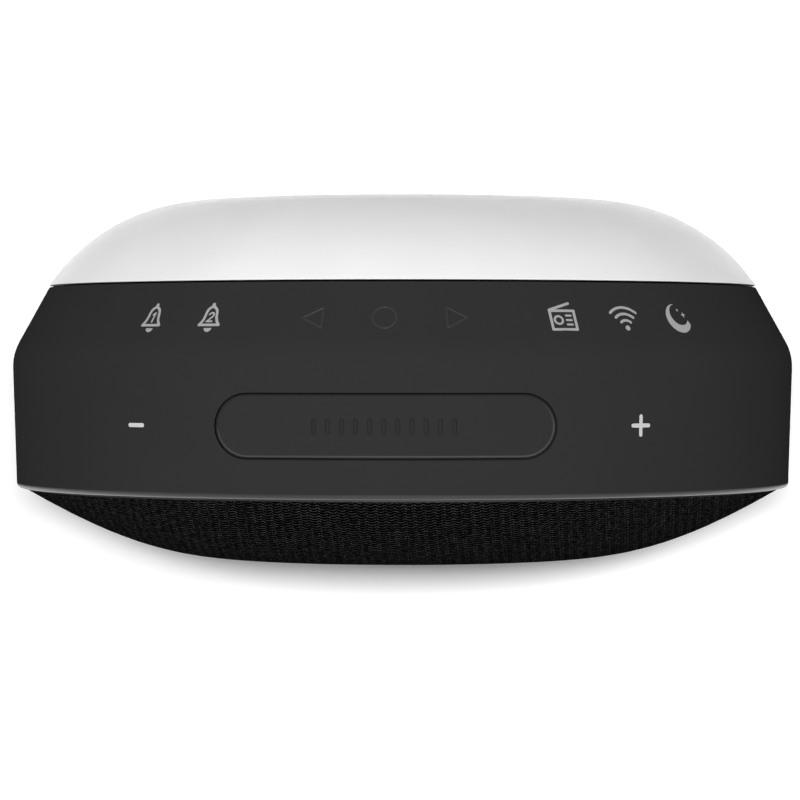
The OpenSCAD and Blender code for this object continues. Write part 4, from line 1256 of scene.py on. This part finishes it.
# Each plain finish of the CAD pieces that stay shown: tone, roughness and what else it has
FINISHES = {
    "inner_black": ((0.02, 0.02, 0.021), 0.6, {}),
    "bezel_black": ((0.012, 0.012, 0.013), 0.4, {"Specular_IOR_Level": 0.2}),
    "smoked_window": ((0.006, 0.006, 0.008), 0.08,
                      {"grain": 0.004, "depth": 0, "Alpha": 0.15, "Specular_IOR_Level": 0.3}),
    "display_black": ((0.006, 0.006, 0.007), 0.5, {"depth": 0, "Specular_IOR_Level": 0.2}),
    "chassis_white": ((0.75, 0.75, 0.74), 0.5, {}),
    "circuit_board": ((0.02, 0.11, 0.05), 0.4, {}),
    "component_black": ((0.02, 0.02, 0.02), 0.5, {}),
    "gasket_foam": ((0.015, 0.015, 0.015), 0.85, {}),
    "cone_paper": ((0.03, 0.03, 0.032), 0.7, {}),
    "foot_rubber": ((0.02, 0.02, 0.02), 0.8, {}),
}
# How wide the edges of the CAD pieces in view are eased, in millimetres
EASED = {"foot_pad": 0.6, "display_bezel": 0.3, "display_lens": 0.2, "port_panel": 0.3, "dc_jack": 0.25,
         "usb_sockets": 0.12}


class CLOCK_OT_mouldings(ClockOperator, bpy.types.Operator):
    """Gives the CAD pieces that stay shown their looks, and eases the edges of those in view"""
    bl_idname = "clock.mouldings"
    bl_label = "Mouldings and inner pieces"

    def execute(self, context):
        looks = {name: moulded(name, tone, rough, **more) for name, (tone, rough, more) in FINISHES.items()}
        looks["display_light"] = lit("emitters", self.colours.light, 0.4)
        looks["flex_copper"] = metal("copper", (0.6, 0.3, 0.14), 0.35)
        looks["steel"] = metal("steel", (0.55, 0.55, 0.56), 0.3)
        looks["magnet"] = metal("magnet", (0.3, 0.3, 0.31), 0.4)
        slots = {p["node"]: p["material_slot"] for p in frame["record"]["subparts"]}
        for name, node in frame["nodes"].items():
            if node.hide_render or slots[name] not in looks:
                continue
            node.data.materials.clear()
            node.data.materials.append(looks[slots[name]])
        for name, width in EASED.items():
            node = frame["nodes"][name]
            weld = node.modifiers.new("weld", "WELD")
            weld.merge_threshold = 1e-6
            bevel = node.modifiers.new("ease", "BEVEL")
            bevel.width = width * MM
            bevel.segments = 3
            bevel.limit_method = "ANGLE"
            bevel.angle_limit = radians(40)
            bevel.harden_normals = True
        return {"FINISHED"}


# Greys of the floor as light meets it and as it is seen; where it starts and ends to turn plain white
FLOOR, FLOOR_SEEN, WHITE_FROM, WHITE_AT = 0.45, 1.1, 0.4, 0.8
# Strength of the light from all round
DIM = 0.12
# Each lamp's name, place, aim, size and watts
LAMPS = [("overhead", (0.08, 0.175, 2.4), (0, 0, 0.1), (0.5, 0.16), 38.5),
         ("right", (0.8, 0.25, 1.3), (0, 0, 0.12), (0.5, 0.4), 6.0),
         ("left", (-1.2, 0.05, 0.4), (0, 0, 0.1), (1.2, 0.6), 7.0),
         ("front", (0.35, -0.85, 1.15), (0, 0, 0.12), (2.2, 0.14), 2.5)]
# The camera's focal length and picture width in pixels, its sensor's width in millimetres,
# its distance from the drum's axis and its lean to the right, and the Y of its place and what it aims at
FOCUS, PICTURE, SENSOR, CAMERA_AWAY, CAMERA_LEAN = 3775, 800, 36.0, 0.8915, radians(2.52)
CAMERA_Y, AIM_X, AIM_Y = 0.00525, -0.0006, -0.00495


class CLOCK_OT_stage(ClockOperator, bpy.types.Operator):
    """Builds the floor, the lights, the surroundings and the camera"""
    bl_idname = "clock.stage"
    bl_label = "Stage"

    def facing(self, place, aim):
        """Rotation that looks from a place to an aim with its right side level."""
        back = (Vector(place) - Vector(aim)).normalized()
        right = Vector((0, 1, 0)).cross(back).normalized()
        return Matrix((right, back.cross(right), back)).transposed().to_euler()

    def put(self, name, data):
        made = bpy.data.objects.new(name, data)
        bpy.context.scene.collection.objects.link(made)
        return made

    def blend(self, tree, factor, a, b):
        return tree.node("ShaderNodeMixShader", {}, {0: factor, 1: a, 2: b})

    def seen(self, tree):
        """1 for the rays that show the background: from the camera, off gloss and through glass."""
        path = tree.node("ShaderNodeLightPath")
        rays = path.at("Is Camera Ray") + path.at("Is Glossy Ray") + path.at("Is Transmission Ray")
        return rays.clamped()

    def floor_look(self):
        """A pale floor that keeps the shadow near the clock and is plain white further off."""
        made, tree = material("floor_white")
        plain, near = (tree.node("ShaderNodeBsdfDiffuse", {}, {"Color": grey(tone)})
                       for tone in (FLOOR, FLOOR_SEEN))
        far = tree.node("ShaderNodeEmission", {}, {"Color": grey(1.0), "Strength": 1.0})
        away = tree.node("ShaderNodeVectorMath", {"operation": "LENGTH"}, {0: tree.place()}).at("Value")
        bright = self.blend(tree, ((away - WHITE_FROM) / (WHITE_AT - WHITE_FROM)).clamped(), near, far)
        shown = self.blend(tree, self.seen(tree), plain, bright)
        tree.node("ShaderNodeOutputMaterial", {}, {"Surface": shown})
        return made

    def surroundings(self):
        """A dim even light from all round that looks plain white."""
        world = bpy.data.worlds.new("studio")
        tree = Shader(world)
        dim, white = (tree.node("ShaderNodeBackground", {}, {"Color": grey(1.0), "Strength": strength})
                      for strength in (DIM, 1.0))
        tree.node("ShaderNodeOutputWorld", {}, {"Surface": self.blend(tree, self.seen(tree), dim, white)})
        return world

    def light(self, name, place, aim, size, watts):
        data = bpy.data.lights.new(name, "AREA")
        data.shape = "RECTANGLE"
        data.size, data.size_y = size
        data.energy = watts
        made = self.put(name, data)
        made.location = place
        made.rotation_euler = self.facing(place, aim)
        made.visible_camera = False

    def execute(self, context):
        scene = context.scene
        mesh = bpy.data.meshes.new("floor")
        half = 3.0
        corners = [(-half, -half, 0), (half, -half, 0), (half, half, 0), (-half, half, 0)]
        mesh.from_pydata(corners, [], [(0, 1, 2, 3)])
        floor = self.put("floor", mesh)
        floor.data.materials.append(self.floor_look())
        scene.world = self.surroundings()
        for lamp in LAMPS:
            self.light(*lamp)

        data = bpy.data.cameras.new("camera")
        data.sensor_width = SENSOR
        data.lens = SENSOR * FOCUS / PICTURE
        data.clip_end = 20.0
        camera = self.put("camera", data)
        axis = self.drum.axis
        camera.location = (CAMERA_AWAY * sin(CAMERA_LEAN), CAMERA_Y, axis + CAMERA_AWAY * cos(CAMERA_LEAN))
        camera.rotation_euler = self.facing(camera.location, (AIM_X, AIM_Y, axis))
        scene.camera = camera
        scene.view_settings.view_transform = "Standard"
        return {"FINISHED"}


class CLOCK_PT_panel(bpy.types.Panel):
    """Lists the pieces in the 3D view's sidebar"""
    bl_label = "Bedside clock"
    bl_idname = "CLOCK_PT_panel"
    bl_space_type = "VIEW_3D"
    bl_region_type = "UI"
    bl_category = "Clock"

    def draw(self, context):
        for operator in OPERATORS:
            self.layout.operator(operator.bl_idname)
        for group in (context.scene.clock_sizes, context.scene.clock_colours):
            box = self.layout.box()
            for name in group.__annotations__:
                box.prop(group, name)


OPERATORS = (CLOCK_OT_band, CLOCK_OT_keys, CLOCK_OT_snooze, CLOCK_OT_dome, CLOCK_OT_cloth, CLOCK_OT_display,
             CLOCK_OT_mouldings, CLOCK_OT_stage)
CLASSES = (ClockSizes, ClockColours, *OPERATORS, CLOCK_PT_panel)


def register():
    for cls in CLASSES:
        bpy.utils.register_class(cls)
    bpy.types.Scene.clock_sizes = PointerProperty(type=ClockSizes)
    bpy.types.Scene.clock_colours = PointerProperty(type=ClockColours)


def unregister():
    del bpy.types.Scene.clock_colours
    del bpy.types.Scene.clock_sizes
    for cls in reversed(CLASSES):
        bpy.utils.unregister_class(cls)


def main():
    register()
    bpy.ops.clock.band()
    bpy.ops.clock.keys()
    bpy.ops.clock.snooze()
    bpy.ops.clock.dome()
    bpy.ops.clock.cloth()
    bpy.ops.clock.display()
    bpy.ops.clock.mouldings()
    bpy.ops.clock.stage()
    bpy.context.view_layer.update()


if __name__ == "__main__":
    main()
